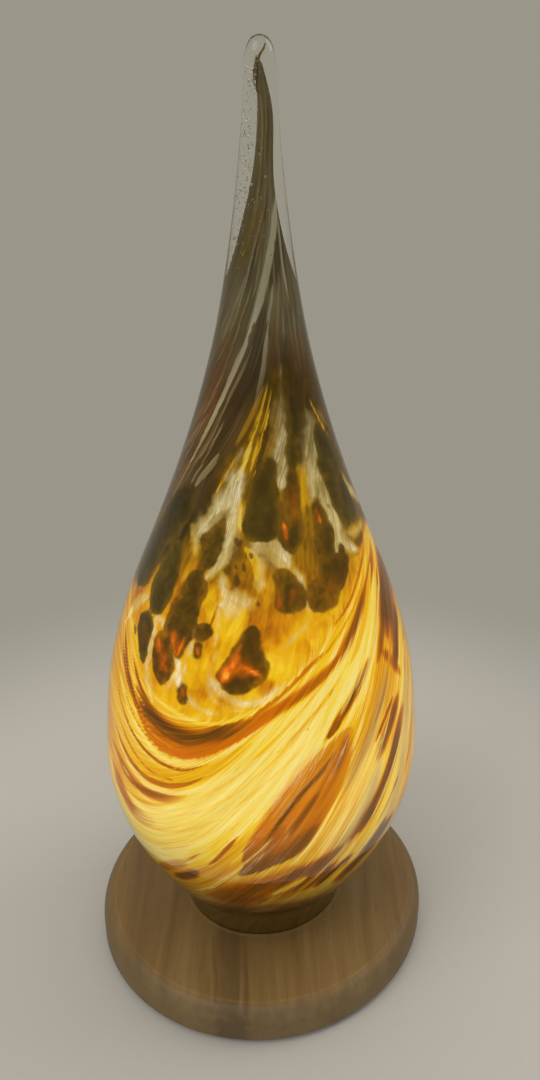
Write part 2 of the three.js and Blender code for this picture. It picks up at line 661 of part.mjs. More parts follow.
function rollThread(geometry, bottom, top, isThreaded) {
  const places = geometry.attributes.position;
  for (let i = 0; i < places.count; i += 1) {
    const [x, y, z] = [places.getX(i), places.getY(i), places.getZ(i)];
    const radius = Math.hypot(x, y);
    if (isThreaded(radius) && z >= bottom && z <= top) {
      const runIn = Math.min(1, (z - bottom) / THREAD_RUN_IN, (top - z) / THREAD_RUN_IN);
      const grown = 1 + runIn * threadWave(z, Math.atan2(y, x)) / radius;
      places.setXY(i, x * grown, y * grown);
    }
  }
  return geometry;
}

function threadRows(bottom, top) {
  const count = Math.ceil((top - bottom) / THREAD_PITCH * THREAD_ROWS_PER_TURN);
  return Array.from({ length: count + 1 }, (_, i) => bottom + (top - bottom) * i / count);
}

function makeShell() {
  const wall = threadRows(SHELL_BOTTOM, SHELL_TOP).reverse().map((height) => [SHELL_THREAD_RADIUS, height]);
  const outline = [[SHELL_OUTER_RADIUS, SHELL_BOTTOM], [SHELL_OUTER_RADIUS, SHELL_TOP], ...wall];
  const middle = (SHELL_THREAD_RADIUS + SHELL_OUTER_RADIUS) / 2;
  const isInside = (radius) => radius < middle;
  return rollThread(revolveRing(outline, THREAD_FACETS), SHELL_BOTTOM, SHELL_TOP, isInside);
}

addPiece('threaded_shell', makeShell(), 'nickel');

// Contacts and terminals: the tongue under the bulb's tip at -Y, the strip beside the shell at +Y

const terminalOuterEnd = TERMINAL_CENTRE + TERMINAL_DEPTH / 4;

addPiece('centre_contact', strip([
  [-terminalOuterEnd, STRIP_FOOT_LEVEL],
  [-LOWER_BORE_RADIUS - SEAT_GAP, STRIP_FOOT_LEVEL],
  [-LOWER_BORE_RADIUS + TONGUE_REACH / 2, STRIP_FLOOR_LEVEL],
  [TONGUE_REACH / 3, STRIP_FLOOR_LEVEL],
  [TONGUE_REACH, STRIP_FLOOR_LEVEL + TONGUE_RISE / 3],
  [TONGUE_REACH / 2, TONGUE_LEVEL - TONGUE_RISE / 6],
  [-TONGUE_REACH, TONGUE_LEVEL],
], STRIP_THICKNESS, STRIP_WIDTH), 'brass');

addPiece('side_contact', strip([
  [terminalOuterEnd, STRIP_FOOT_LEVEL],
  [SIDE_STRIP_PLACE, STRIP_FOOT_LEVEL],
  [SIDE_STRIP_PLACE, SIDE_STRIP_TOP],
], STRIP_THICKNESS, STRIP_WIDTH), 'brass');

function makeTerminal(side) {
  const centre = side * TERMINAL_CENTRE;
  const body = block(
    [-TERMINAL_WIDTH / 2, centre - TERMINAL_DEPTH / 2, TERMINAL_BOTTOM],
    [TERMINAL_WIDTH / 2, centre + TERMINAL_DEPTH / 2, TERMINAL_TOP],
  );
  const holeBottom = TERMINAL_BOTTOM - CUT_OVERRUN;
  const hole = rod(TERMINAL_SCREW_RADIUS + SEAT_GAP, holeBottom, TERMINAL_TOP + CUT_OVERRUN, SMALL_FACETS);
  return cut(body, hole.translate(0, centre, 0));
}

function makeTerminalScrew(side) {
  const seat = TERMINAL_BOTTOM - SEAT_GAP;
  const screw = makeUpwardScrew(
    TERMINAL_SCREW_RADIUS, TERMINAL_SCREW_HEAD_RADIUS, MACHINE_SCREW_HEAD_HEIGHT, seat, TERMINAL_SCREW_LENGTH,
  );
  return screw.translate(0, side * TERMINAL_CENTRE, 0);
}

addPiece('live_terminal', makeTerminal(-1), 'brass');
addPiece('neutral_terminal', makeTerminal(1), 'brass');
addPiece('live_terminal_screw', makeTerminalScrew(-1), 'zincSteel');
addPiece('neutral_terminal_screw', makeTerminalScrew(1), 'zincSteel');

// Bulb, from its tip up

const CAP_INNER_RADIUS = THREAD_RADIUS - THREAD_DEPTH / 2 - CAP_WALL;

addPiece('bulb_tip_contact', revolve([
  [0, BULB_TIP_BOTTOM],
  [BULB_TIP_RADIUS * 2 / 3, BULB_TIP_BOTTOM],
  [BULB_TIP_RADIUS, BULB_TIP_BOTTOM + BULB_TIP_HEIGHT / 2],
  [BULB_TIP_RADIUS, BULB_TIP_BOTTOM + BULB_TIP_HEIGHT],
  [0, BULB_TIP_BOTTOM + BULB_TIP_HEIGHT],
], SMALL_FACETS), 'solder');

const insulatorTop = CAP_BOTTOM + INSULATOR_PLUG_HEIGHT;
const insulatorPlugRadius = CAP_INNER_RADIUS - SEAT_GAP;
addPiece('bulb_insulator', revolve([
  [0, INSULATOR_BOTTOM],
  [INSULATOR_TIP_RADIUS, INSULATOR_BOTTOM],
  [insulatorPlugRadius, CAP_BOTTOM],
  [insulatorPlugRadius, insulatorTop],
  [0, insulatorTop],
], ROUND_FACETS), 'insulatorGlass');

function makeCap() {
  const rows = threadRows(CAP_BOTTOM, CAP_THREAD_TOP).map((height) => [THREAD_RADIUS, height]);
  const skirtInner = CAP_SKIRT_RADIUS - CAP_WALL;
  const outline = [
    [CAP_INNER_RADIUS, CAP_BOTTOM],
    ...rows,
    [CAP_SKIRT_RADIUS, CAP_THREAD_TOP + CAP_FLARE_HEIGHT],
    [CAP_SKIRT_RADIUS, CAP_TOP],
    [skirtInner, CAP_TOP],
    [skirtInner, CAP_SHOULDER],
    [CAP_INNER_RADIUS, CAP_THREAD_TOP + CAP_WALL],
  ];
  const middle = (CAP_INNER_RADIUS + THREAD_RADIUS) / 2;
  const isOutside = (radius) => radius > middle;
  return rollThread(revolveRing(outline, THREAD_FACETS), CAP_BOTTOM, CAP_THREAD_TOP, isOutside);
}

addPiece('bulb_screw_cap', makeCap(), 'nickel');

const HOUSING_PLUG_RADIUS = CAP_SKIRT_RADIUS - CAP_WALL - SEAT_GAP;
const HOUSING_PLUG_BOTTOM = CAP_SHOULDER + SEAT_GAP;

function housingRadius(share) {
  return CAP_SKIRT_RADIUS + (HOUSING_MOUTH_RADIUS - CAP_SKIRT_RADIUS) * Math.sin(Math.PI / 2 * share);
}

function makeHousing() {
  const outer = [];
  const inner = [];
  const boardSeat = LED_BOARD_BOTTOM - SEAT_GAP;
  const boardRadius = HOUSING_MOUTH_RADIUS - HOUSING_WALL;
  for (let i = 0; i <= ARC_STEPS; i += 1) {
    const share = i / ARC_STEPS;
    const radius = housingRadius(share);
    const innerHeight = HOUSING_BOTTOM + (boardSeat - HOUSING_BOTTOM) * share;
    outer.push([radius, HOUSING_BOTTOM + HOUSING_HEIGHT * share]);
    inner.push([radius - HOUSING_WALL - LED_BOARD_LEDGE, innerHeight]);
  }
  return revolveRing([
    [HOUSING_PLUG_RADIUS - HOUSING_WALL, HOUSING_PLUG_BOTTOM],
    [HOUSING_PLUG_RADIUS, HOUSING_PLUG_BOTTOM],
    [HOUSING_PLUG_RADIUS, HOUSING_BOTTOM],
    ...outer,
    [boardRadius, HOUSING_TOP],
    [boardRadius, boardSeat],
    ...inner.reverse().slice(0, -1),
  ], ROUND_FACETS);
}

addPiece('bulb_housing', makeHousing(), 'whitePlastic');

const ledBoardRadius = HOUSING_MOUTH_RADIUS - HOUSING_WALL - SEAT_GAP;
addPiece('led_board', rod(ledBoardRadius, LED_BOARD_BOTTOM, HOUSING_TOP, ROUND_FACETS), 'circuitBoard');

const driverTop = LED_BOARD_BOTTOM - SEAT_GAP;
addPiece('driver_board', block(
  [-DRIVER_BOARD_WIDTH / 2, -DRIVER_BOARD_THICKNESS / 2, driverTop - DRIVER_BOARD_HEIGHT],
  [DRIVER_BOARD_WIDTH / 2, DRIVER_BOARD_THICKNESS / 2, driverTop],
), 'driverBoard');

const GLOBE_CENTRE = GLOBE_BOTTOM + Math.sqrt(GLOBE_RADIUS ** 2 - HOUSING_MOUTH_RADIUS ** 2);

function globeArc(radius) {
  const start = Math.asin((GLOBE_BOTTOM - GLOBE_CENTRE) / radius);
  return Array.from({ length: GLOBE_ROWS + 1 }, (_, i) => {
    const rise = start + (Math.PI / 2 - start) * i / GLOBE_ROWS;
    return [i === GLOBE_ROWS ? 0 : radius * Math.cos(rise), GLOBE_CENTRE + radius * Math.sin(rise)];
  });
}

const globeOutline = [...globeArc(GLOBE_RADIUS - GLOBE_WALL).reverse(), ...globeArc(GLOBE_RADIUS)];
addPiece('bulb_globe', revolve(globeOutline, ROUND_FACETS), 'opal');

// Glass shade: a clear casing over a coloured layer that runs up the neck as a strand

const TIP_DOME_START = SHADE_HEIGHT - TIP_DOME_HEIGHT;

function shadePoints() {
  const lower = lowerOutlineShares.map(([heightShare, radiusShare]) => [
    BELLY_HEIGHT * heightShare,
    FOOT_RADIUS + (BELLY_RADIUS - FOOT_RADIUS) * radiusShare,
  ]);
  const upper = upperOutlineShares.slice(1).map(([heightShare, radiusShare]) => [
    BELLY_HEIGHT + (TIP_DOME_START - BELLY_HEIGHT) * heightShare,
    TIP_RADIUS + (BELLY_RADIUS - TIP_RADIUS) * radiusShare,
  ]);
  return [...lower, ...upper];
}

const outlinePoints = shadePoints();

function outerRadius(height) {
  if (height <= TIP_DOME_START) return smoothRadius(outlinePoints, height);
  const rise = Math.min(1, (height - TIP_DOME_START) / TIP_DOME_HEIGHT);
  return TIP_RADIUS * (1 - rise ** TIP_DOME_POWER) ** (1 / TIP_DOME_POWER);
}

// Radius of the surface that lies a wall's thickness inside (or, if negative, outside) the given one
function insetRadius(radiusAt, height, wall, step) {
  const slope = (radiusAt(height + step) - radiusAt(height - step)) / (2 * step);
  return radiusAt(height) - wall * Math.sqrt(1 + slope ** 2);
}

const CORE_TIP_HEIGHT = SHADE_HEIGHT - CORE_TIP_CLEARANCE;
const SLOPE_STEP = TIP_RADIUS / 8;
const wallRadius = (height) => insetRadius(outerRadius, height, CASING_WALL + LAYER_GAP, SLOPE_STEP);
const neckPoints = coreNeckShares.map(([heightShare, radiusShare]) => [
  CORE_NECK_HEIGHT + (CORE_TIP_HEIGHT - CORE_NECK_HEIGHT) * heightShare,
  wallRadius(CORE_NECK_HEIGHT) * radiusShare,
]);

function coreRadius(height) {
  return height <= CORE_NECK_HEIGHT ? wallRadius(height) : smoothRadius(neckPoints, height);
}

function pocketRadius(height) {
  return insetRadius(coreRadius, height, -LAYER_GAP, SLOPE_STEP);
}

function cavityRadius(height) {
  const rise = Math.max(0, (height - CAVITY_DOME_START) / (CAVITY_TOP - CAVITY_DOME_START));
  const closing = (1 - Math.min(1, rise) ** CAVITY_DOME_POWER) ** (1 / 2);
  return insetRadius(coreRadius, height, CORE_WALL, SLOPE_STEP) * closing;
}

// Heights from the bottom to just below the top, closer together at the bottom for a spread above one
function heightsBetween(bottom, top, count, spread = 1) {
  return Array.from({ length: count }, (_, i) => bottom + (top - bottom) * (i / count) ** spread);
}

function shadeHeights(top, lowerRows, upperRows) {
  return [
    ...heightsBetween(FOOT_ROUND, BELLY_HEIGHT, lowerRows),
    ...heightsBetween(BELLY_HEIGHT, top, upperRows, UPPER_SPREAD),
  ];
}

// Heights on a dome, closer together towards its top
function domeHeights(bottom, top) {
  return heightsBetween(0, 1, TIP_ROWS).map((share) => top - (top - bottom) * (1 - share) ** 2);
}

function outlineUp(radiusAt, heights) {
  return heights.map((height) => [radiusAt(height), height]);
}

function makeCasing() {
  const outerWall = [
    ...outlineUp(outerRadius, shadeHeights(TIP_DOME_START, LOWER_ROWS, UPPER_ROWS)),
    ...outlineUp(outerRadius, domeHeights(TIP_DOME_START, SHADE_HEIGHT)),
    [0, SHADE_HEIGHT],
  ];
  const pocketWall = [
    ...outlineUp(pocketRadius, shadeHeights(CORE_NECK_HEIGHT, HIDDEN_LOWER_ROWS, HIDDEN_UPPER_ROWS)),
    ...outlineUp(pocketRadius, neckPoints.map(([height]) => height)),
    [0, CORE_TIP_HEIGHT + LAYER_GAP],
  ];
  const footInner = pocketRadius(0);
  const foot = [[footInner, 0], [outerRadius(0) - FOOT_ROUND, 0]];
  return revolve([...pocketWall.reverse(), ...foot, ...outerWall], SHADE_FACETS);
}

function makeCore() {
  const outerWall = [
    ...outlineUp(coreRadius, shadeHeights(CORE_NECK_HEIGHT, HIDDEN_LOWER_ROWS, HIDDEN_UPPER_ROWS)),
    ...outlineUp(coreRadius, neckPoints.map(([height]) => height)),
    [0, CORE_TIP_HEIGHT],
  ];
  const cavityWall = [
    ...outlineUp(cavityRadius, shadeHeights(CAVITY_DOME_START, HIDDEN_LOWER_ROWS, HIDDEN_UPPER_ROWS)),
    ...outlineUp(cavityRadius, domeHeights(CAVITY_DOME_START, CAVITY_TOP)),
    [0, CAVITY_TOP],
  ];
  const foot = [[cavityRadius(0), 0], [coreRadius(0), 0]];
  return revolve([...cavityWall.reverse(), ...foot, ...outerWall], SHADE_FACETS);
}

const shadeFoot = SEAT_FLOOR + SEAT_GAP;
addPiece('glass_casing', makeCasing(), 'clearGlass').position.z = shadeFoot;
addPiece('colour_core', makeCore(), 'colouredGlass').position.z = shadeFoot;

export default lamp;
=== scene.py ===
import json
import math

import bmesh
import bpy
import numpy as np
from mathutils import Matrix, Vector

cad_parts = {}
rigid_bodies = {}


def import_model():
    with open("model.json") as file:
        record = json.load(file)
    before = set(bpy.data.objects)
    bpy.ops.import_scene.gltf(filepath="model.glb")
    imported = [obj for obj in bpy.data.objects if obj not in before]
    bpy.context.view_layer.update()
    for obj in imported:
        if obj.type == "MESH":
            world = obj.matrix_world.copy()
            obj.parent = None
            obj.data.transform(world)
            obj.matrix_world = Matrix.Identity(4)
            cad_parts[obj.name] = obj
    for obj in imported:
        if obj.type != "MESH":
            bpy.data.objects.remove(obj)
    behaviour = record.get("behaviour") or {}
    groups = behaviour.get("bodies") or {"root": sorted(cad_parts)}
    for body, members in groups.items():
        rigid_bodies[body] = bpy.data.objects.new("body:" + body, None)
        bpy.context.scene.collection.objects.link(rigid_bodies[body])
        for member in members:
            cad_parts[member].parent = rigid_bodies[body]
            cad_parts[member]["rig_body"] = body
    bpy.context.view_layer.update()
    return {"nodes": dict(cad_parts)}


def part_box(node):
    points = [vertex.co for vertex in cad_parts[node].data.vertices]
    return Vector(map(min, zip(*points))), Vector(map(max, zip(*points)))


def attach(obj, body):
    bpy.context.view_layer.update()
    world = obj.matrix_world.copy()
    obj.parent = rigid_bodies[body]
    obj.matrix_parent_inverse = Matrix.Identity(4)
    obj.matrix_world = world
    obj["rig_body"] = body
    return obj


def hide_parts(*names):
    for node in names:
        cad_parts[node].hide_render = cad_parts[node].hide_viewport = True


# Glass table lamp: a lit drop of cased glass on a turned beech disc.
# Metres, +Z up. The pattern of the glass is written in millimetres and in degrees round
# the axis, with 0 at the front and positive angles to the right.

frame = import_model()
nodes = frame["nodes"]

MM = 0.001
FULL_TURN = 2 * math.pi
TINY = 1e-6  # metres: below this a radius is on the axis and two levels are the same


# Meshes

def linked(name, data):
    """A new object in the scene."""
    thing = bpy.data.objects.new(name, data)
    bpy.context.scene.collection.objects.link(thing)
    return thing


def finished(name, mesh, material, body, smooth_angle=35):
    """A piece of that mesh on a CAD body, its faces outwards and smooth up to that angle."""
    work = bmesh.new()
    work.from_mesh(mesh)
    bmesh.ops.recalc_face_normals(work, faces=work.faces)
    work.to_mesh(mesh)
    work.free()
    mesh.shade_smooth()
    mesh.set_sharp_from_angle(angle=math.radians(smooth_angle))
    mesh.materials.append(material)
    piece = linked(name, mesh)
    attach(piece, body)
    return piece


def mesh_object(name, points, faces, material, body, smooth_angle=35):
    """A piece with one material that rides on a CAD body."""
    mesh = bpy.data.meshes.new(name)
    mesh.from_pydata(points.tolist(), [], faces)
    mesh.update()
    return finished(name, mesh, material, body, smooth_angle)


def stands_for(node):
    """Hides the CAD node that a piece stands for."""
    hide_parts(node)


def band(low, high):
    """Faces between two rings, one of which may be a single point or have half the other's sides."""
    if len(low) < len(high):
        return [tuple(reversed(face)) for face in band(high, low)]
    count = len(high)
    if count == 1:
        return [(low[i], low[(i + 1) % len(low)], high[0]) for i in range(len(low))]
    if len(low) == count:
        return [(low[i], low[(i + 1) % count], high[(i + 1) % count], high[i]) for i in range(count)]
    faces = []
    for i in range(count):
        start, middle, end = low[2 * i], low[2 * i + 1], low[(2 * i + 2) % len(low)]
        faces.append((start, middle, high[i]))
        faces.append((middle, end, high[(i + 1) % count], high[i]))
    return faces


def turned(profile, sides, closed=False):
    """Points and faces of a (radius, height) profile turned round the Z axis.

    A point on the axis becomes one vertex. A closed profile joins its end to its start.
    The number of sides may be a function of radius and height that gives rings of n or 2n sides.
    """
    points, rows = [], []
    for radius, height in profile:
        if radius < TINY:
            rows.append([len(points)])
            points.append((0.0, 0.0, height))
            continue
        count = sides(radius, height) if callable(sides) else sides
        angles = np.arange(count) * FULL_TURN / count
        rows.append(list(range(len(points), len(points) + count)))
        points.extend(zip(radius * np.sin(angles), -radius * np.cos(angles), [height] * count))
    pairs = list(zip(rows, rows[1:]))
    if closed:
        pairs.append((rows[-1], rows[0]))
    faces = [face for low, high in pairs for face in band(low, high)]
    return np.array(points, float), faces


LEAST_LEAN = 0.02  # below this share of its length a normal points up or down


def wall_points(node, outward):
    """(height, radius) pairs of a turned CAD node's outer or inner wall, from the foot up."""
    mesh = nodes[node].data
    found = {}
    for polygon in mesh.polygons:
        centre, normal = polygon.center, polygon.normal
        reach = math.hypot(centre.x, centre.y)
        lean = (normal.x * centre.x + normal.y * centre.y) / max(reach, 1e-9)
        if (lean if outward else -lean) < LEAST_LEAN:
            continue
        for index in polygon.vertices:
            point = mesh.vertices[index].co
            height = round(point.z, 6)
            found[height] = max(found.get(height, 0), math.hypot(point.x, point.y))
    return sorted(found.items())


def cubic(t, start, enter, end, leave):
    """A point of the cubic with these ends and slopes, t of the way along it."""
    return (
        (2 * t**3 - 3 * t**2 + 1) * start
        + (t**3 - 2 * t**2 + t) * enter
        + (3 * t**2 - 2 * t**3) * end
        + (t**3 - t**2) * leave
    )


def smooth_curve(points, step, flat_end=False):
    """Points about one step apart on a cubic through the given (height, radius) pairs."""
    table = np.array(points, float)
    chord = np.r_[0, np.cumsum(np.hypot(*np.diff(table, axis=0).T))]
    slopes = np.gradient(table, chord, axis=0)
    if flat_end:
        slopes[-1] = (0, -1)
    count = max(2, int(round(chord[-1] / step)) + 1)
    along = np.linspace(0, chord[-1], count)
    part = np.clip(np.searchsorted(chord, along, side="right") - 1, 0, len(chord) - 2)
    width = np.diff(chord)[part][:, None]
    t = ((along - chord[part]) / width[:, 0])[:, None]
    return cubic(t, table[part], slopes[part] * width, table[part + 1], slopes[part + 1] * width)


# Materials

def linear(colour):
    """An sRGB colour of 0 to 255 as linear RGBA."""
    shares = [c / 255 for c in colour]
    return [s / 12.92 if s <= 0.04045 else ((s + 0.055) / 1.055) ** 2.4 for s in shares] + [1.0]


class Nodes:
    """Short calls for the nodes of a tree."""

    def __init__(self, tree):
        self.tree = tree

    def add(self, kind, **settings):
        node = self.tree.nodes.new(kind)
        for name, value in settings.items():
            setattr(node, name, value)
        return node

    def put(self, socket, value):
        if isinstance(value, bpy.types.NodeSocket):
            self.tree.links.new(value, socket)
        elif value is not None:
            socket.default_value = value

    def field(self, name, output="Fac"):
        """A value that the script has stored on the mesh's points."""
        return self.add("ShaderNodeAttribute", attribute_name=name).outputs[output]

    def place(self):
        return self.add("ShaderNodeTexCoord").outputs["Object"]

    def scaled(self, vector, scale):
        node = self.add("ShaderNodeMapping")
        self.put(node.inputs["Vector"], vector)
        node.inputs["Scale"].default_value = scale
        return node.outputs["Vector"]

    def parts(self, vector):
        """The X, Y and Z of a vector."""
        node = self.add("ShaderNodeSeparateXYZ")
        self.put(node.inputs[0], vector)
        return node.outputs

    def length(self, vector):
        node = self.add("ShaderNodeVectorMath", operation="LENGTH")
        self.put(node.inputs[0], vector)
        return node.outputs["Value"]

    def noise(self, vector, scale, detail=3.0, roughness=0.5, distortion=0.0):
        node = self.add("ShaderNodeTexNoise")
        for name, value in zip(("Vector", "Scale", "Detail", "Roughness", "Distortion"),
                               (vector, scale, detail, roughness, distortion)):
            self.put(node.inputs[name], value)
        return node.outputs["Fac"]

    def cells(self, vector, scale):
        """Distance to the middle of the nearest cell."""
        node = self.add("ShaderNodeTexVoronoi")
        self.put(node.inputs["Vector"], vector)
        node.inputs["Scale"].default_value = scale
        return node.outputs["Distance"]

    def math(self, operation, first, second=None, third=None, clamp=False):
        node = self.add("ShaderNodeMath", operation=operation, use_clamp=clamp)
        for socket, value in zip(node.inputs, (first, second, third)):
            self.put(socket, value)
        return node.outputs[0]

    def chain(self, operation, values, clamp=False):
        """The operation over all the values in turn, with only the last result clamped."""
        total = values[0]
        for value in values[1:-1]:
            total = self.math(operation, total, value)
        return self.math(operation, total, values[-1], clamp=clamp)

    def plus(self, *values, clamp=False):
        return self.chain("ADD", values, clamp)

    def times(self, *values, clamp=False):
        return self.chain("MULTIPLY", values, clamp)

    def most(self, *values, clamp=False):
        return self.chain("MAXIMUM", values, clamp)

    def onto(self, base, value, factor, clamp=False):
        """The value times the factor on top of the base."""
        return self.math("MULTIPLY_ADD", value, factor, base, clamp)

    def minus(self, value, taken):
        return self.math("SUBTRACT", value, taken)

    def away(self, value, middle):
        """How far the value is from a middle one."""
        return self.math("ABSOLUTE", self.minus(value, middle))

    def span(self, value, low, high, to_low=0.0, to_high=1.0, kind="SMOOTHSTEP"):
        """The value between low and high as a smooth step between two other values."""
        node = self.add("ShaderNodeMapRange", interpolation_type=kind)
        for name, entry in zip(("Value", "From Min", "From Max", "To Min", "To Max"),
                               (value, low, high, to_low, to_high)):
            self.put(node.inputs[name], entry)
        return node.outputs[0]

    def drift(self, noise, to_low, to_high, low=0.3, high=0.7):
        """The middle range of a noise mapped evenly onto another range."""
        return self.span(noise, low, high, to_low, to_high, "LINEAR")

    def ramp(self, value, stops):
        node = self.add("ShaderNodeValToRGB")
        elements = node.color_ramp.elements
        while len(elements) < len(stops):
            elements.new(0.5)
        for element, (position, colour) in zip(elements, stops):
            element.position = position
            element.color = linear(colour)
        self.put(node.inputs["Fac"], value)
        return node.outputs["Color"]

    def mix(self, share, first, second, blend="MIX"):
        node = self.add("ShaderNodeMix", data_type="RGBA", blend_type=blend)
        self.put(node.inputs["Factor"], share)
        for socket, colour in ((6, first), (7, second)):
            self.put(node.inputs[socket], linear(colour) if isinstance(colour, tuple) else colour)
        return node.outputs[2]

    def camera_like(self):
        """1 for camera, glossy and transmission rays, else 0."""
        rays = self.add("ShaderNodeLightPath").outputs
        return self.most(rays["Is Camera Ray"], rays["Is Glossy Ray"], rays["Is Transmission Ray"])


class Look(Nodes):
    """A node material with one Principled shader."""

    def __init__(self, name, **inputs):
        self.material = bpy.data.materials.new(name)
        self.material.use_nodes = True
        super().__init__(self.material.node_tree)
        self.tree.nodes.clear()
        self.shader = self.add("ShaderNodeBsdfPrincipled")
        self.output = self.add("ShaderNodeOutputMaterial")
        self.put(self.output.inputs["Surface"], self.shader.outputs["BSDF"])
        for socket, value in inputs.items():
            self.set(socket.replace("_", " "), value)

    def set(self, socket, value):
        self.put(self.shader.inputs[socket], value)

    def bump(self, height, strength, distance):
        node = self.add("ShaderNodeBump")
        for name, value in (("Strength", strength), ("Distance", distance), ("Height", height)):
            self.put(node.inputs[name], value)
        self.set("Normal", node.outputs["Normal"])


# Pattern of the glass, as drawn. The first four tables are pairs. After its first one or
# two values each line of the others gives a path or an outline: angle, height, angle and so on.

# Where the streaks of the belly end and the chips of colour begin: angle and height
BOUNDARY = [
    (-140, 182), (-110, 184), (-90, 187), (-75, 180), (-60, 172), (-50, 160), (-40, 155),
    (-20, 152), (-5, 158), (10, 168), (25, 182), (40, 192), (55, 202), (70, 210), (85, 211),
    (110, 205), (140, 196), (180, 188),
]

# The curve that the fine lines below it follow
FLOW_GUIDE = [
    (-150, 184), (-125, 201), (-108, 214), (-95, 216), (-85, 211), (-75, 200), (-65, 186),
    (-57, 174.5), (-50, 166), (-40, 157.5), (-30, 153), (-20, 152), (-5, 158), (10, 168), (25, 180),
    (40, 191), (55, 201), (70, 209), (85, 211), (110, 205), (140, 194), (170, 186),
]

# Where the unlit streaks of the neck begin
UPPER_EDGE = [
    (-150, 225), (-110, 205), (-80, 192), (-60, 214), (-50, 224), (-40, 234), (-30, 245),
    (-20, 256), (-10, 266), (0, 273), (10, 280), (20, 284), (35, 282), (50, 280), (65, 282),
    (80, 278), (110, 262), (150, 250), (180, 240),
]

# Brightness of the glass over its height, lit from the bulb inside
LIT_LEVELS = [
    (16, 0.0), (30, 0.02), (44, 0.05), (54, 0.11), (62, 0.23), (70, 0.4), (80, 0.6), (90, 0.78),
    (100, 0.92), (112, 1.0), (165, 1.0), (195, 0.97), (225, 0.88), (245, 0.74), (262, 0.56),
    (280, 0.28), (300, 0.08), (320, 0.0), (390, 0.0),
]

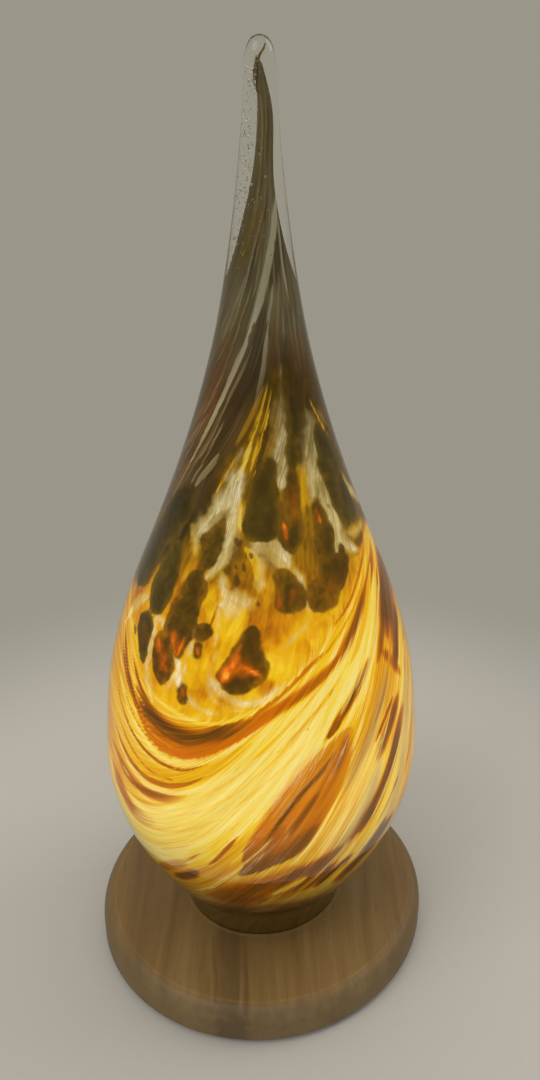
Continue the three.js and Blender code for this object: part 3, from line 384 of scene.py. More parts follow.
# Broad bands first, then the streaks over them: tone, half width in mm, path.
# Tone runs from 0, dark brown, over orange and gold to 1, pale yellow.
BELLY_STREAKS = [
    (0.9, 13, -58, 98, -40, 103, -25, 108, -10, 120, 0, 132, 12, 146, 25, 160, 40, 176, 52, 190),
    (0.8, 12, -48, 70, -40, 84, -28, 94, -14, 104),
    (0.66, 14, 50, 55, 60, 80, 70, 110, 78, 140),
    (0.56, 6.5, -80, 150, -72, 130, -66, 110),
    (0.62, 6.0, -72, 182, -60, 168, -45, 156, -30, 152, -15, 152, 0, 161, 15, 172, 30, 184, 45, 195,
     60, 204, 75, 210, 90, 208),
    (0.55, 3.0, 20, 182, 32, 189, 45, 198, 58, 205, 72, 210),
    (0.78, 0.9, -52, 163, -42, 156, -32, 153, -20, 151, -8, 155, 4, 163, 16, 172),
    (0.72, 3.0, -4, 150, 10, 162, 24, 173, 38, 184, 52, 195, 64, 203),
    # the dark crescent, its orange lower rim and its thin tails
    (0.16, 3.6, -52, 155, -44, 148.5, -36, 145, -28, 143.8, -20, 144.5, -12, 149, -4, 154),
    (0.35, 2.4, -47, 147.5, -40, 143, -32, 140.5, -24, 140.5, -16, 144),
    (0.18, 0.8, -48, 149.5, -40, 144.5, -32, 142, -24, 142, -14, 147),
    (0.38, 1.7, -50, 146, -42, 139.5, -34, 136.8, -26, 137, -18, 140.5, -10, 146, -2, 152.5,
     6, 159.5),
    (0.42, 0.7, -62, 152, -54, 145, -46, 139, -38, 135.5, -30, 134.8, -22, 136.5),
    (0.34, 1.9, -8, 151, 0, 155.5, 8, 160, 16, 164, 24, 168.5, 31, 173.5),
    (0.4, 1.0, -6, 154, 4, 162, 14, 169.5, 24, 176),
    (0.3, 2.0, 24, 168, 31, 173, 38, 179.5, 46, 186.5, 56, 193, 68, 200, 78, 206),
    (0.5, 0.6, 16, 170, 26, 176.5, 36, 184, 48, 192, 60, 200),
    (0.36, 0.7, 30, 184.5, 42, 191.5, 54, 199.5, 66, 207),
    (0.2, 1.0, -71, 171, -64, 163.5, -57, 155.5, -50, 148.5, -44, 145),
    (0.24, 0.8, -58, 165, -52, 158.5, -46, 153, -40, 149.5),
    (0.3, 0.9, -70, 166, -62, 158, -54, 150.5, -47, 144.5, -40, 141),
    (0.68, 0.8, -66, 169, -59, 161, -52, 153.5, -45, 149),
    # bands below the crescent
    (0.86, 1.1, -68, 158, -60, 148, -52, 141.5, -44, 136.5, -36, 133.2, -28, 133, -20, 136.5,
     -12, 142, -4, 148.5),
    (0.3, 0.9, -66, 149, -58, 140.5, -50, 134.5, -42, 131, -34, 129.5, -26, 130.5, -18, 135),
    (0.63, 2.6, -68, 146, -60, 137, -52, 130, -44, 126.5, -36, 125, -28, 126.5, -20, 130.5,
     -12, 137, -4, 145),
    (0.4, 0.7, -62, 137, -54, 130, -46, 125.5, -38, 123.5, -30, 124.5),
    (0.36, 1.3, -66, 133, -58, 126, -50, 121.5, -42, 119.8, -34, 120.5, -26, 124, -18, 130),
    (0.34, 2.2, -66, 122, -57, 116.5, -49, 113.5, -41, 113, -33, 114.8, -26, 119),
    (0.6, 2.0, -66, 117, -57, 110.5, -49, 107.5, -41, 107.5, -33, 110),
    (0.36, 4.0, -66, 112, -58, 104, -51, 98.5, -44, 98, -39, 101),
    # thin lines along the pale band
    (0.62, 0.8, -30, 112, -18, 122, -6, 135, 6, 149, 18, 161, 32, 173),
    (0.58, 0.6, -36, 105, -24, 111.5, -12, 121, -2, 132, 8, 144),
    (0.64, 0.7, -6, 126, 4, 139, 14, 150, 24, 160, 34, 170),
    (0.5, 0.7, 4, 141, 14, 151, 24, 160, 32, 168),
    (0.66, 0.8, -10, 117, 0, 128, 10, 139, 18, 147),
    (0.6, 0.7, -44, 94, -34, 98, -24, 104, -14, 112),
    (0.5, 0.7, -40, 84, -32, 90, -24, 96),
    (0.42, 0.7, -34, 78, -28, 85, -21, 93),
    (0.32, 1.0, -20, 85, -16, 91, -12, 98, -8, 105),
    (0.6, 2.4, -26, 72, -19, 81, -13, 91, -8, 99, -4, 106),
    (0.5, 0.8, -22, 73, -16, 81, -11, 90),
    # between the lens and the right side
    (0.58, 3.2, 12, 88, 20, 102, 28, 119, 35, 134, 43, 149, 53, 166, 64, 182),
    (0.62, 1.2, 14, 84, 21, 95, 28, 108, 34, 121, 40, 134),
    (0.5, 0.8, 18, 90, 25, 102, 31, 114, 36, 126),
    (0.16, 3.3, 30, 90, 37, 99, 45, 110, 51.5, 121, 57, 133, 61, 139),
    (0.3, 1.2, 40, 101, 47, 111, 54, 121),
    (0.26, 1.2, 43, 90, 50, 101, 56, 110),
    (0.22, 2.6, 42, 124, 47, 132, 53, 140, 58, 146),
    (0.26, 0.9, 42, 133, 48, 141, 54, 147),
    (0.52, 2.6, 46, 139, 53, 150, 61, 163, 68, 174),
    (0.44, 1.0, 40, 138, 48, 150, 56, 162, 64, 173),
    (0.26, 1.8, 21, 143, 27, 149.5, 32, 154.5, 38, 161, 44, 168),
    (0.24, 1.4, 22, 143.5, 28, 149),
    (0.26, 0.9, 38, 159, 46, 168, 54, 178, 63, 189, 72, 197),
    (0.36, 1.8, 52, 168, 58, 160, 63, 152),
    (0.3, 1.8, 48, 164, 56, 174, 64, 184, 72, 192),
    (0.62, 1.6, 34, 168, 44, 179, 55, 191, 66, 200),
    (0.17, 8.0, 60, 168, 70, 181, 80, 190, 95, 194),
    (0.14, 2.6, 58, 156, 64, 164, 70, 171, 78, 177),
    (0.5, 2.0, 66, 150, 73, 159, 81, 166),
    (0.56, 2.2, 54, 110, 62, 124, 70, 138),
    (0.52, 2.4, 58, 86, 64, 100, 70, 118),
    (0.4, 1.2, 60, 104, 67, 118, 74, 134),
    (0.4, 1.0, 62, 128, 68, 142, 75, 154),
    # the foot
    (0.3, 9.0, -24, 60, -8, 66, 8, 74, 22, 84),
    (0.24, 4.0, -10, 70, 4, 76, 18, 82, 28, 90),
    (0.44, 1.6, -4, 76, 4, 80, 12, 86),
    (0.5, 2.2, 0, 62, 8, 70, 15, 78),
    (0.46, 1.2, 8, 60, 16, 70, 23, 79),
    (0.24, 3.0, 12, 66, 20, 74, 27, 82),
    (0.58, 1.3, 24, 80, 30, 88, 35, 94),
    (0.6, 1.0, 20, 62, 26, 70, 32, 78),
    (0.14, 4.5, 30, 62, 39, 71, 48, 80, 56, 88),
    (0.08, 2.2, 20, 66, 27, 74, 34, 81),
    (0.1, 2.0, 38, 76, 44, 83, 50, 91),
    (0.72, 1.5, 3, 66, 9, 71, 16, 77),
    (0.2, 2.2, -38, 66, -30, 73, -24, 80),
    (0.48, 1.4, 30, 56, 38, 64, 46, 74),
    (0.4, 2.6, -46, 66, -36, 76, -28, 84),
    (0.24, 8.0, -40, 40, -10, 46, 20, 46, 50, 42),
    (0.46, 3.0, -18, 36, -4, 46, 8, 56),
    (0.78, 4.6, 10, 28, 22, 36, 34, 46, 46, 57),
    (0.55, 1.9, -30, 30, -20, 36, -10, 43),
]

# Gold, amber and brown glass between the chips, and the dark grains in it
CHIP_ZONE_STREAKS = [
    (0.06, 9, -90, 188, -76, 200, -64, 214, -52, 230, -40, 242),
    (0.12, 5, -54, 192, -48, 208, -42, 224, -32, 238),
    (0.08, 6, -62, 202, -55, 213, -47, 222, -39, 233),
    (0.58, 6, -72, 171, -64, 177, -57, 186),
    (0.7, 1.4, -70, 176, -64, 174, -58, 171, -54, 165),
    (0.56, 5.5, -27, 181, -24, 191, -22, 201),
    (0.68, 4.6, -26, 163, -25, 170, -23, 177),
    (0.63, 3.0, -44, 158, -34, 156.5, -24, 154),
    (0.36, 2.6, -2, 165.5, 1, 166.5, 4, 168.5),
    (0.62, 5.0, -17, 183, -12, 190, -8, 195),
    (0.72, 1.4, -14, 184, -9, 191, -7, 195),
    (0.5, 5.0, 2, 184, 9, 187, 16, 190, 23, 191),
    (0.3, 2.0, 5, 180, 7, 180.5, 9, 179.5),
    (0.66, 3.0, 0, 174, 8, 179, 16, 186, 24, 190),
    (0.5, 3.0, 0, 196, 3, 200, 4, 205),
    (0.52, 2.4, 26, 243, 27.5, 236, 26.8, 228, 26, 220, 24.5, 213, 21, 207),
    (0.46, 4.6, 26, 230, 30, 237, 33, 244),
    (0.58, 1.6, 27, 229, 28, 235, 31, 242),
    (0.34, 5, 15, 209, 21, 213, 27, 205),
    (0.3, 2.4, 24, 213, 26, 222, 27, 229),
    (0.4, 4.5, -43, 199, -39, 207, -42, 217),
    (0.52, 1.8, -40, 200, -37, 207, -39, 215),
    (0.34, 3.2, -38, 190, -40, 197),
    (0.46, 4.0, -12, 203, -6, 209, 0, 213),
    (0.66, 1.6, -9, 215, -3, 210, -2, 203),
    (0.36, 3.4, -13, 210, -10, 214),
    (0.5, 2.4, -14, 216, -13, 224, -14, 232),
    (0.88, 0.6, -12, 220, -13.5, 226, -13.5, 232),
    (0.7, 0.5, -9, 240, -6, 248, -3, 255),
    (0.6, 0.5, 25, 226, 26, 234, 29, 243),
    (0.62, 0.5, -37, 205, -37, 211, -39, 217),
    (0.16, 0.6, -28, 188, -27.5, 196, -26, 202),
    (0.3, 0.5, -22, 186, -20, 193, -20, 199),
    (0.34, 0.5, -5, 188, -3, 194),
    (0.4, 5.0, -16, 240, -9, 250, -1, 260, 6, 269),
    (0.3, 4.5, -33, 239, -26, 245, -18, 252, -10, 261),
    (0.3, 3.6, -2, 246, 3, 252, 8, 258),
    (0.36, 4.0, 4, 250, 8, 256, 12, 264),
    (0.26, 3.0, 8, 262, 14, 270, 20, 279),
    (0.8, 0.5, -16, 240, -12, 248, -8, 256, -3, 264),
    (0.86, 0.8, -17, 238, -13.5, 244.5, -10.5, 250, -8, 254),
    (0.88, 0.45, -8, 239, -3.5, 244, 1, 253.5, 4, 259.5, 7, 266),
    (0.84, 0.5, -7, 259.5, -3, 262, 0, 264),
    (0.66, 0.5, -12, 253, -8, 257, -3, 260),
    (0.62, 0.5, -6, 246, -2, 251, 1, 257),
    (0.14, 1.2, -4, 240, -1, 248, 3, 255, 6, 261),
    (0.34, 3.4, 44, 256, 50, 263, 56, 270, 64, 276),
    (0.74, 0.5, 52, 266, 58, 260, 64, 254, 70, 249),
    (0.36, 3.2, 0, 243, 5, 252, 10, 262),
    (0.3, 2.4, 14, 262, 17, 270, 20, 278),
    (0.76, 0.5, -9, 252, -4, 260, 1, 267, 6, 274),
    (0.72, 0.5, -2, 256, 4, 263, 10, 272),
    (0.6, 0.5, -31, 233, -25, 240, -18, 248),
    (0.56, 0.8, -22, 250, -14, 258, -6, 266, 2, 273),
    (0.2, 3.2, 46, 262, 56, 266, 66, 272),
    (0.36, 3.0, 56, 252, 63, 256, 72, 262),
    (0.24, 4.0, 46, 274, 56, 278, 68, 284),
    (0.4, 2.6, 58, 213, 68, 213, 80, 213),
    (0.22, 2.0, 52, 206, 60, 209, 70, 212),
]

# Small dark grains: half width in mm, path
GRAINS = [
    (1.1, -15, 218.5, -13, 216, -11, 217),
    (0.8, -18, 205, -16.5, 206.5, -16, 208.5),
    (0.6, -15.5, 211, -13.5, 213.5),
    (0.9, -12.5, 205, -11.5, 203, -11.5, 201.5),
    (1.2, -9, 209.5, -8, 206),
    (0.6, -13.5, 209, -12, 207),
    (0.6, -6, 213, -5, 211),
    (0.8, -2, 197, -1, 195),
    (0.9, 29, 212, 31, 211),
    (0.8, 29, 206, 31, 205),
    (1.0, 44, 227, 45.5, 224.5),
    (0.9, 44, 210.5, 46, 208.5),
    (0.8, -63, 175, -60, 172.5),
    (0.7, -56, 172, -54, 169),
    (0.5, 15, 149, 16, 149.5),
    (0.5, -28, 160, -26, 157),
]

# Cream glass: cover, half width in mm, path. Veins round the chips, then lines in the belly.
VEINS = [
    (0.95, 2.2, -41, 214, -36, 219, -32, 224, -27, 228.5, -22, 235, -19, 243),
    (0.9, 2.9, -27, 227, -21, 230.5, -17.5, 236, -15, 244),
    (0.6, 0.7, -24, 236, -20, 243, -16, 250),
    (0.6, 0.6, -31, 229, -27, 235, -24, 241),
    (0.9, 1.9, -15, 242, -17, 231, -18, 222, -19, 214, -22, 207.5, -28, 203),
    (0.6, 1.3, -42, 219, -38, 215, -36, 210),
    (0.9, 1.7, -73, 171, -69.5, 179, -65, 184.5, -60, 188, -56, 188.5),
    (0.85, 1.5, -52, 187, -49, 181, -49, 173, -49, 166, -46, 159, -42, 152.5),
    (0.8, 1.4, -49.5, 184, -46, 183.5, -43.5, 181.5),
    (0.75, 0.8, -38, 159, -35, 164, -34.5, 171, -36, 176),
    (0.85, 1.7, -36, 174, -33.5, 170.5, -32.5, 166, -31.5, 162),
    (0.7, 0.7, -28, 187, -29, 179, -30, 172, -29.5, 164),
    (0.7, 1.2, -31, 160, -26, 158.5, -21, 156, -15, 155.5),
    (0.75, 1.8, -20, 173, -18, 167, -13, 162.8, -7, 160.8, -1, 161.5, 4, 164.5, 9, 168.5),
    (0.6, 0.6, -17.5, 178, -19.5, 171, -18.5, 163, -13, 158.5, -5, 157),
    (0.7, 2.8, -19, 194.5, -13, 196, -8, 196.5, -3, 197),
    (0.7, 1.4, -20, 206, -17.5, 200, -16, 195),
    (0.5, 0.8, -19, 195, -18.5, 188, -18.5, 181),
    (0.85, 2.4, -5, 217, 3, 216, 8, 216, 12, 211.5, 13.5, 207),
    (0.6, 1.6, 3, 213, 7, 211, 9, 208),
    (0.6, 1.6, -1, 211, 0, 206, -1, 200),
    (0.8, 1.1, 11, 209.5, 16, 206.5, 18.8, 201, 19.5, 195, 19.5, 190),
    (0.7, 0.7, 20, 189, 16, 185.5, 12, 182.5, 8, 179.5),
    (0.9, 2.8, 10, 234, 12.5, 241, 14, 247.5, 15.5, 254, 17.5, 262),
    (0.6, 0.9, 15, 252, 17.5, 261, 20, 270, 23, 280),
    (0.9, 3.5, 31.5, 229, 37, 236, 40, 243, 42, 250, 44.5, 259),
    (0.6, 1.4, 42, 250, 43.5, 257, 45, 265),
    (0.9, 2.9, 38, 242, 43, 232, 45.3, 223, 46.5, 215.5, 51, 210, 58, 207.3),
    (0.8, 1.6, 47, 215, 43, 212, 41, 208.5),
    (0.95, 2.0, 66, 237, 70, 232, 76, 227, 84, 222, 92, 219),
    (0.5, 1.0, 60, 261, 67, 258, 74, 254),
    (0.5, 1.0, 52, 215, 62, 213.5, 74, 214),
    # belly
    (0.75, 0.8, -70, 163, -62, 152, -54, 143.5, -46, 137.5, -38, 133, -30, 131.8, -22, 134,
     -12, 141, 0, 152),
    (0.6, 0.5, -66, 148, -58, 140, -50, 133.5, -42, 129.8, -33, 128.8, -24, 131.5),
    (0.9, 1.5, -66, 131, -58, 123.8, -50, 119, -42, 116.8, -34, 117.5, -26, 120.5, -14, 128,
     0, 141),
    (0.6, 0.7, -60, 119, -52, 113.5, -44, 110.3, -36, 111),
    (0.8, 1.6, -50, 104.5, -42, 104.5, -34, 107.5, -26, 111.5, -18, 117, -10, 125),
    (0.8, 0.8, -44, 98.5, -32, 101.5, -22, 107, -12, 116, -2, 128, 8, 141, 20, 155),
    (0.7, 0.7, -36, 93, -26, 99, -16, 107.5, -6, 118, 4, 131, 14, 143),
    (0.6, 1.6, -40, 86, -30, 92, -20, 99),
    (0.6, 0.7, -4, 137, 8, 150, 20, 161.5, 34, 174, 48, 187),
    (0.55, 0.8, 4, 136, 16, 149, 28, 161),
    (0.6, 0.6, 12, 150, 24, 162, 36, 174, 50, 188),
    (0.85, 0.9, -32, 58, -26, 64, -20, 70, -15, 77, -10, 84, -6, 90),
    (0.7, 0.6, -9, 86, -3, 95, 3, 104),
    (0.75, 1.3, 24, 141, 31, 148, 38, 156.5, 46, 166.5, 55, 178),
    (0.85, 0.9, 36, 157, 44, 166, 52, 175.5, 62, 187, 74, 196),
    (0.65, 0.8, 28, 151, 36, 160.5, 44, 170.5, 52, 180),
    (0.6, 0.7, 9, 87, 16, 97, 22, 109, 27, 120),
    (0.6, 0.8, 30, 128, 34, 139, 38, 148),
    (0.7, 0.8, 25, 95, 32, 108, 39, 121, 46, 133, 52, 143),
    (0.8, 1.0, 36, 93, 43, 103, 50, 114, 57, 125, 64, 137),
    (0.6, 1.0, 40, 86, 47, 96, 54, 107),
    (0.6, 1.6, 56, 137, 63, 148, 71, 158, 80, 164),
    (0.5, 1.4, 60, 112, 66, 126, 73, 140),
    (0.5, 1.2, 66, 90, 71, 104, 77, 120),
    (0.45, 0.9, 18, 74, 25, 83, 31, 92),
    (0.45, 0.9, 33, 76, 40, 84, 47, 93),
    (0.5, 0.8, 44, 62, 51, 74, 58, 88),
    (0.4, 0.8, -10, 50, 0, 58, 8, 66),
]

# Broad cream haze in the belly: cover, half width, path
CREAM_HAZE = [
    (0.5, 3.5, -40, 214, -32, 223, -24, 230, -17, 238),
    (0.4, 3.0, -17, 232, -18, 220, -20, 208),
    (0.45, 3.0, -6, 216, 4, 213, 12, 209),
    (0.4, 3.5, -18, 195, -8, 196),
    (0.45, 4.0, 36, 236, 42, 248, 46, 262),
    (0.4, 3.0, 44, 230, 46, 216, 54, 209),
    (0.35, 3.0, 12, 240, 15, 252, 19, 268),
    (0.8, 7.5, -50, 95, -40, 99, -29, 105, -18, 114, -8, 124, 0, 134),
    (0.5, 5.0, -8, 120, 2, 131, 12, 143, 22, 154),
    (0.7, 5.0, 20, 90, 28, 104, 36, 119, 44, 133),
    (0.5, 3.4, 53, 110, 61, 125, 68, 139, 76, 152),
    (0.6, 5.0, -44, 78, -36, 84, -27, 92),
    (0.45, 3.0, 34, 74, 42, 86, 50, 98),
    (0.55, 4.5, -46, 92, -36, 95, -26, 100, -18, 106),
    (0.5, 4.0, -32, 104, -22, 111, -12, 121, -2, 133),
    (0.5, 3.2, 20, 92, 27, 104, 34, 118, 41, 131),
]

# The amber lens in the belly: its corners
LENS = [
    -9, 81, -7, 88, -7, 96, -4.5, 104, 0, 113, 6, 124, 12, 132.5, 20, 140, 31, 145, 32, 137,
    29, 127, 25, 117, 20, 108, 16, 99, 11, 92, 4, 88, -2, 84,
]

# Inside the lens, dark glass at its foot and lines along it: tone, half width in mm, path
LENS_STREAKS = [
    (0.22, 5.0, -8, 82, 0, 87, 8, 92, 14, 98, 19, 106),
    (0.3, 2.2, -3, 92, 2, 101, 7, 109),
    (0.44, 2.2, -1, 104, 4, 113, 10, 123, 17, 132, 23, 139),
    (0.4, 2.8, 15, 113, 21, 123, 27, 134, 30, 142),
    (0.16, 0.8, 1, 103, 7, 114, 13, 123, 19, 129.5, 25, 137),
    (0.24, 1.2, 8, 104, 14, 114, 19, 122),
    (0.5, 0.7, 2, 112, 8, 122, 15, 131.5),
    (0.26, 1.0, 24, 128, 28, 136, 30, 142),
]

# Pale streaks of the neck: paleness, half width, path. The narrow ones are drawn with a sharp edge.
NECK_STREAKS = [
    (0.1, 3.0, 24, 306, 12, 298, 1, 288, -10, 281, -20, 273, -31, 262, -40, 252),
    (0.2, 3.4, 4, 322, -10, 312, -24, 303, -36, 292, -48, 280),
    (0.42, 3.0, 50, 300, 42, 312, 34, 326, 30, 345),
    (0.46, 2.6, 30, 308, 24, 300, 19, 290),
    (0.15, 2.4, 34, 290, 31, 280, 30, 270),
    (0.16, 4.0, -46, 262, -56, 252, -68, 240),
    (0.4, 3.0, -42, 308, -52, 298, -64, 286),
    (0.12, 2.0, 70, 325, 48, 319, 32, 312, 20, 304),
    (0.98, 1.35, 92, 339, 62, 331, 38, 324, 24, 318.5, 11, 312, 2, 306, -5.5, 300, -13.5, 294,
     -21, 288, -29, 281),
    (0.3, 0.5, 8, 309, 0, 303, -8, 296.5, -16, 290, -24, 283),
    (0.56, 0.45, 40, 334, 24, 327, 10, 319, -2, 311, -14, 303),
    (0.5, 0.45, 28, 332, 14, 325, 0, 316, -12, 308),
    (0.6, 0.5, 60, 300, 54, 290, 50, 280, 48, 270),
    (0.5, 0.5, 68, 296, 62, 284, 58, 274),
    (0.62, 0.6, 74, 284, 70, 274, 66, 264),
    (0.12, 0.5, -20, 303, -30, 295, -38, 286, -46, 276),
    (0.1, 0.5, -36, 297, -44, 288, -52, 277, -62, 264),
    (0.1, 0.6, -40, 274, -50, 262, -60, 249, -70, 236),
    (0.08, 0.6, -54, 262, -64, 249, -74, 236),
    (0.92, 1.2, -13.5, 293.5, -21, 287, -29, 280.5, -36, 273, -43, 265, -50, 256.5, -57, 247.5,
     -64, 238),
    (0.7, 0.6, -12, 287, -21, 278, -32, 268, -43, 254, -52, 243),
    (0.66, 0.5, 22, 342, 8, 333, -13, 323.5, -24, 316, -33, 308, -42, 299, -50, 290, -60, 280),
    (0.0, 0.5, 30, 342, 19, 335, 4, 329, -10, 322, -20, 315, -29, 308, -38, 299),
    (0.6, 0.5, -15, 309, -23, 303, -31, 297, -36.6, 289.8, -42, 282.5, -50, 273, -60, 262),
    (0.5, 0.45, -25, 303, -34, 293, -39, 287, -45, 280, -54, 268),
    (0.58, 0.9, -36, 311, -47, 301.8, -54, 294.6, -62, 286),
    (0.6, 0.5, -43, 280, -51, 273, -57.7, 264.5, -65, 256, -74, 244),
    (0.55, 0.5, -47, 275, -56, 265, -63, 257, -72, 246),
    (0.6, 0.6, -50, 267, -60, 256, -69, 245, -78, 233),
    (0.66, 0.6, -34, 259, -42, 249, -49, 240, -56, 231),
    (0.6, 0.5, -38, 264, -47, 252, -55, 242, -62, 233),
    (0.7, 1.2, -33, 247, -39, 242, -45, 237, -50, 232),
    (0.62, 0.5, -62, 240, -70, 229, -78, 217),
    (0.85, 0.55, 24, 308.5, 17, 302, 11.4, 297, 7, 290.5),
    (0.9, 1.0, 10, 295, 6.6, 289.8, 3.7, 283.8, 0, 276.5, -4, 270.5, -8, 264),
    (0.5, 0.6, 13, 290, 9, 284, 6, 277, 3, 270),
    (0.6, 0.8, 23, 288, 20.5, 279, 19, 272),
    (0.62, 1.0, 44, 280, 42.6, 270.5, 41.7, 261),
    (0.5, 0.45, 33, 318, 28, 305, 25, 292),
    (0.56, 0.45, 42, 312, 36, 300, 33, 288),
    (0.52, 0.45, 50, 306, 46, 294, 44, 284),
    (0.85, 0.6, 88, 332, 70, 324, 60, 316, 56, 308, 54, 300),
    (0.05, 0.6, 98, 335, 80, 325, 68, 316, 62, 308),
    (0.5, 0.5, 20, 345, 16, 338, 6, 330, -6, 321, -16, 313),
    (0.6, 0.6, -10, 352, -12, 346, -20, 338, -32, 328, -46, 318),
    (0.5, 0.5, 16, 376, 10, 364, 8, 352, 6, 344),
    (0.62, 0.5, -24, 372, -20, 362, -16, 352, -14, 344),
    (0.1, 0.5, 30, 370, 26, 358, 24, 348),
    (0.12, 0.5, -4, 366, -4, 354, -8, 345, -20, 334),
]

# Olive gold glass in the neck, then reddish brown: cover, half width, path
NECK_GOLD = [
    (1.0, 2.6, -2, 338, -12, 332, -27, 327, -42, 321.5, -55, 316, -70, 310),
    (0.6, 2.4, -30, 300, -42, 292, -56, 280),
    (0.7, 1.6, 24, 300, 17, 288, 11, 281, 5, 275),
    (0.5, 1.0, 14, 316, 6, 307, -4, 298),
    (0.5, 2.0, -40, 262, -50, 250, -60, 238),
    (0.6, 0.9, -14, 374, -12, 360, -10, 348, -16, 340),
]

NECK_RUST = [
    (0.9, 0.8, -42, 302, -51, 292, -59, 283, -68, 272),
    (0.9, 0.7, -38, 293, -48, 281, -57, 270, -68, 256),
    (0.85, 0.7, -46, 288, -57, 275, -67, 262, -78, 247),
    (0.9, 0.8, -44, 271, -54, 259, -63, 247, -73, 233),
    (0.9, 0.8, 58, 292, 54, 283, 51, 273, 48, 264),
    (0.9, 1.0, 68, 280, 62, 270, 56, 260),
    (0.8, 0.9, 20, 296, 16, 288, 13, 280, 11, 272),
    (0.85, 3.6, 64, 262, 56, 270, 50, 280, 48, 292),
    (0.7, 2.6, 76, 276, 66, 284, 60, 294),
    (0.6, 1.6, -34, 290, -48, 276, -62, 260, -76, 244),
    (0.5, 1.4, -46, 300, -58, 290, -70, 280),
    (0.5, 1.8, -60, 250, -68, 238, -78, 226),
    (0.55, 1.0, 14, 292, 10, 286, 8, 280),
    (0.5, 0.9, 18, 334, 8, 325, -4, 316),
]

# Dark chips of colour: warmth, from 0, olive, to 1, amber, and corners
CHIPS = [
    (0.1, -10, 222, -9, 231, -6, 238, -1, 244, 4, 247, 9, 245, 10, 236, 9.5, 227, 6, 219.5,
     0, 217.5, -6, 218),
    (0.35, 10.5, 217, 10.5, 223, 12.5, 230, 15.5, 238, 19, 243, 23, 242.5, 24, 234, 23.5, 225,
     21, 217, 17, 213.5, 13, 214.5),
    (0.0, 19.5, 243, 20.5, 253, 23, 263, 27, 270, 30, 277, 34, 281, 36, 275, 35.5, 266, 33.5, 257,
     29, 248, 24, 243.5),
    (0.3, 29.3, 215, 30.3, 222, 32.5, 227.5, 36.5, 228.5, 41, 224, 42.5, 217.5, 41, 211, 36, 209.5,
     31, 210.5),
    (0.0, 46, 240, 46.5, 249, 50, 255.5, 56, 256.5, 62, 253, 69, 248, 72, 240, 69, 233, 72.5, 226,
     71, 219, 62, 217, 54, 217.5, 50, 223, 48.5, 231),
    (0.2, -35, 216.5, -31, 219.5, -26, 222.8, -22.5, 224, -20.5, 218.5, -21, 212, -25, 207,
     -29.5, 206.3, -32.5, 211),
    (0.0, -58, 200, -55, 208, -50, 212, -45, 208.5, -42.5, 202, -44, 194, -46, 187, -51, 184,
     -56, 187, -59, 194),
    (0.5, -44, 183, -43.5, 189, -40, 197, -36.5, 203, -31, 205, -27, 200.5, -27, 192, -28.5, 184,
     -31, 177, -34.5, 173, -38, 176, -42, 179),
    (0.9, -47.5, 174, -46, 179, -42, 179.5, -38, 175, -36, 168, -38.5, 161.5, -42, 162, -45.5, 167),
    (0.1, -61, 178, -58.5, 183.5, -54, 184.5, -50.5, 181, -49.8, 173, -50.5, 165, -53.5, 167.5,
     -58, 172.5),
    (0.75, -16.3, 169.3, -15.5, 172.8, -12.3, 178, -9.5, 182, -7.5, 185.5, -4, 188, -1.5, 185.5,
     0, 182, 1.9, 176.5, 1.6, 172, -0.8, 168.3, -4, 166, -8, 164.8, -13, 165.3),
    (0.35, 5.5, 194, 6.5, 200, 6, 205.5, 10, 207.5, 15, 204.5, 18.5, 199, 18, 193.5, 12, 191.8),
    (0.55, 20.3, 194.5, 22, 200.5, 27, 204.8, 34, 207.6, 42, 208.8, 48.5, 206, 45, 201, 39.5, 196.5,
     34, 192.3, 27, 190.2, 22, 191.2),
    (0.0, -88, 200, -80, 214, -70, 226, -58, 233, -47, 232, -46, 222, -52, 214, -59, 208, -62, 198,
     -66, 190, -78, 188),
    (0.7, -27.8, 175, -27, 179.6, -24.5, 179.8, -23.7, 176, -25.5, 174.2),
    (0.75, -31.5, 160, -30.5, 164.5, -28, 163, -27.5, 159, -29.5, 157.6),
    (0.7, -28.5, 182, -27.5, 186, -23.5, 186.5, -20.5, 184.5, -23, 182, -26, 180.8),
    (0.2, 43, 208.5, 45.5, 211.5, 47.5, 210, 46, 207.5),
]

# Embers, where the bulb shines through a chip: strength, half width in mm, path
EMBERS = [
    (0.7, 3.0, -16.5, 168.5, -13.5, 171, -10, 173.5, -6, 173, -2, 172.5),
    (1.0, 1.8, -15.5, 167, -12.5, 171.5, -10, 176, -8.5, 180),
    (0.9, 0.8, -16, 170, -12, 174, -9.5, 179, -7.5, 182.5),
    (0.95, 0.9, -12, 172, -7, 173.5, -2.5, 172, 0, 170),
    (0.7, 2.0, -40, 182, -37, 178.5, -34.5, 174),
    (1.0, 0.9, -39.5, 180, -37, 176, -35, 172.5),
    (0.95, 0.7, -32.5, 181, -33.5, 177, -35, 172.5),
    (0.75, 2.2, -46, 176, -42, 172, -39, 166),
    (1.0, 0.7, -46, 178, -43.5, 173.5, -41, 169.5),
    (0.8, 0.7, -42, 166, -39.5, 168.5, -37.5, 166),
    (0.85, 0.8, 11.8, 225, 12.8, 221, 12.8, 217.5),
    (0.75, 0.8, 33, 227.5, 34.5, 224, 35.5, 220.5),
    (0.6, 1.8, 5.5, 203, 5.5, 199, 6.5, 195, 9, 192.5),
    (0.8, 0.7, 5.6, 199, 5.8, 196, 7, 193.5),
    (0.4, 1.2, 11, 194, 13, 197, 14, 201),
    (0.6, 1.0, -26.8, 178.5, -25.6, 176.5, -25.4, 175),
    (0.5, 1.4, -30.5, 163, -29.5, 161, -29, 159),
    (0.25, 2.4, 27, 196, 33, 198, 40, 203),
    (0.25, 2.0, -56, 180, -54, 176, -53, 171),
    (0.3, 1.6, 21, 239, 20.5, 232, 18, 224),
]

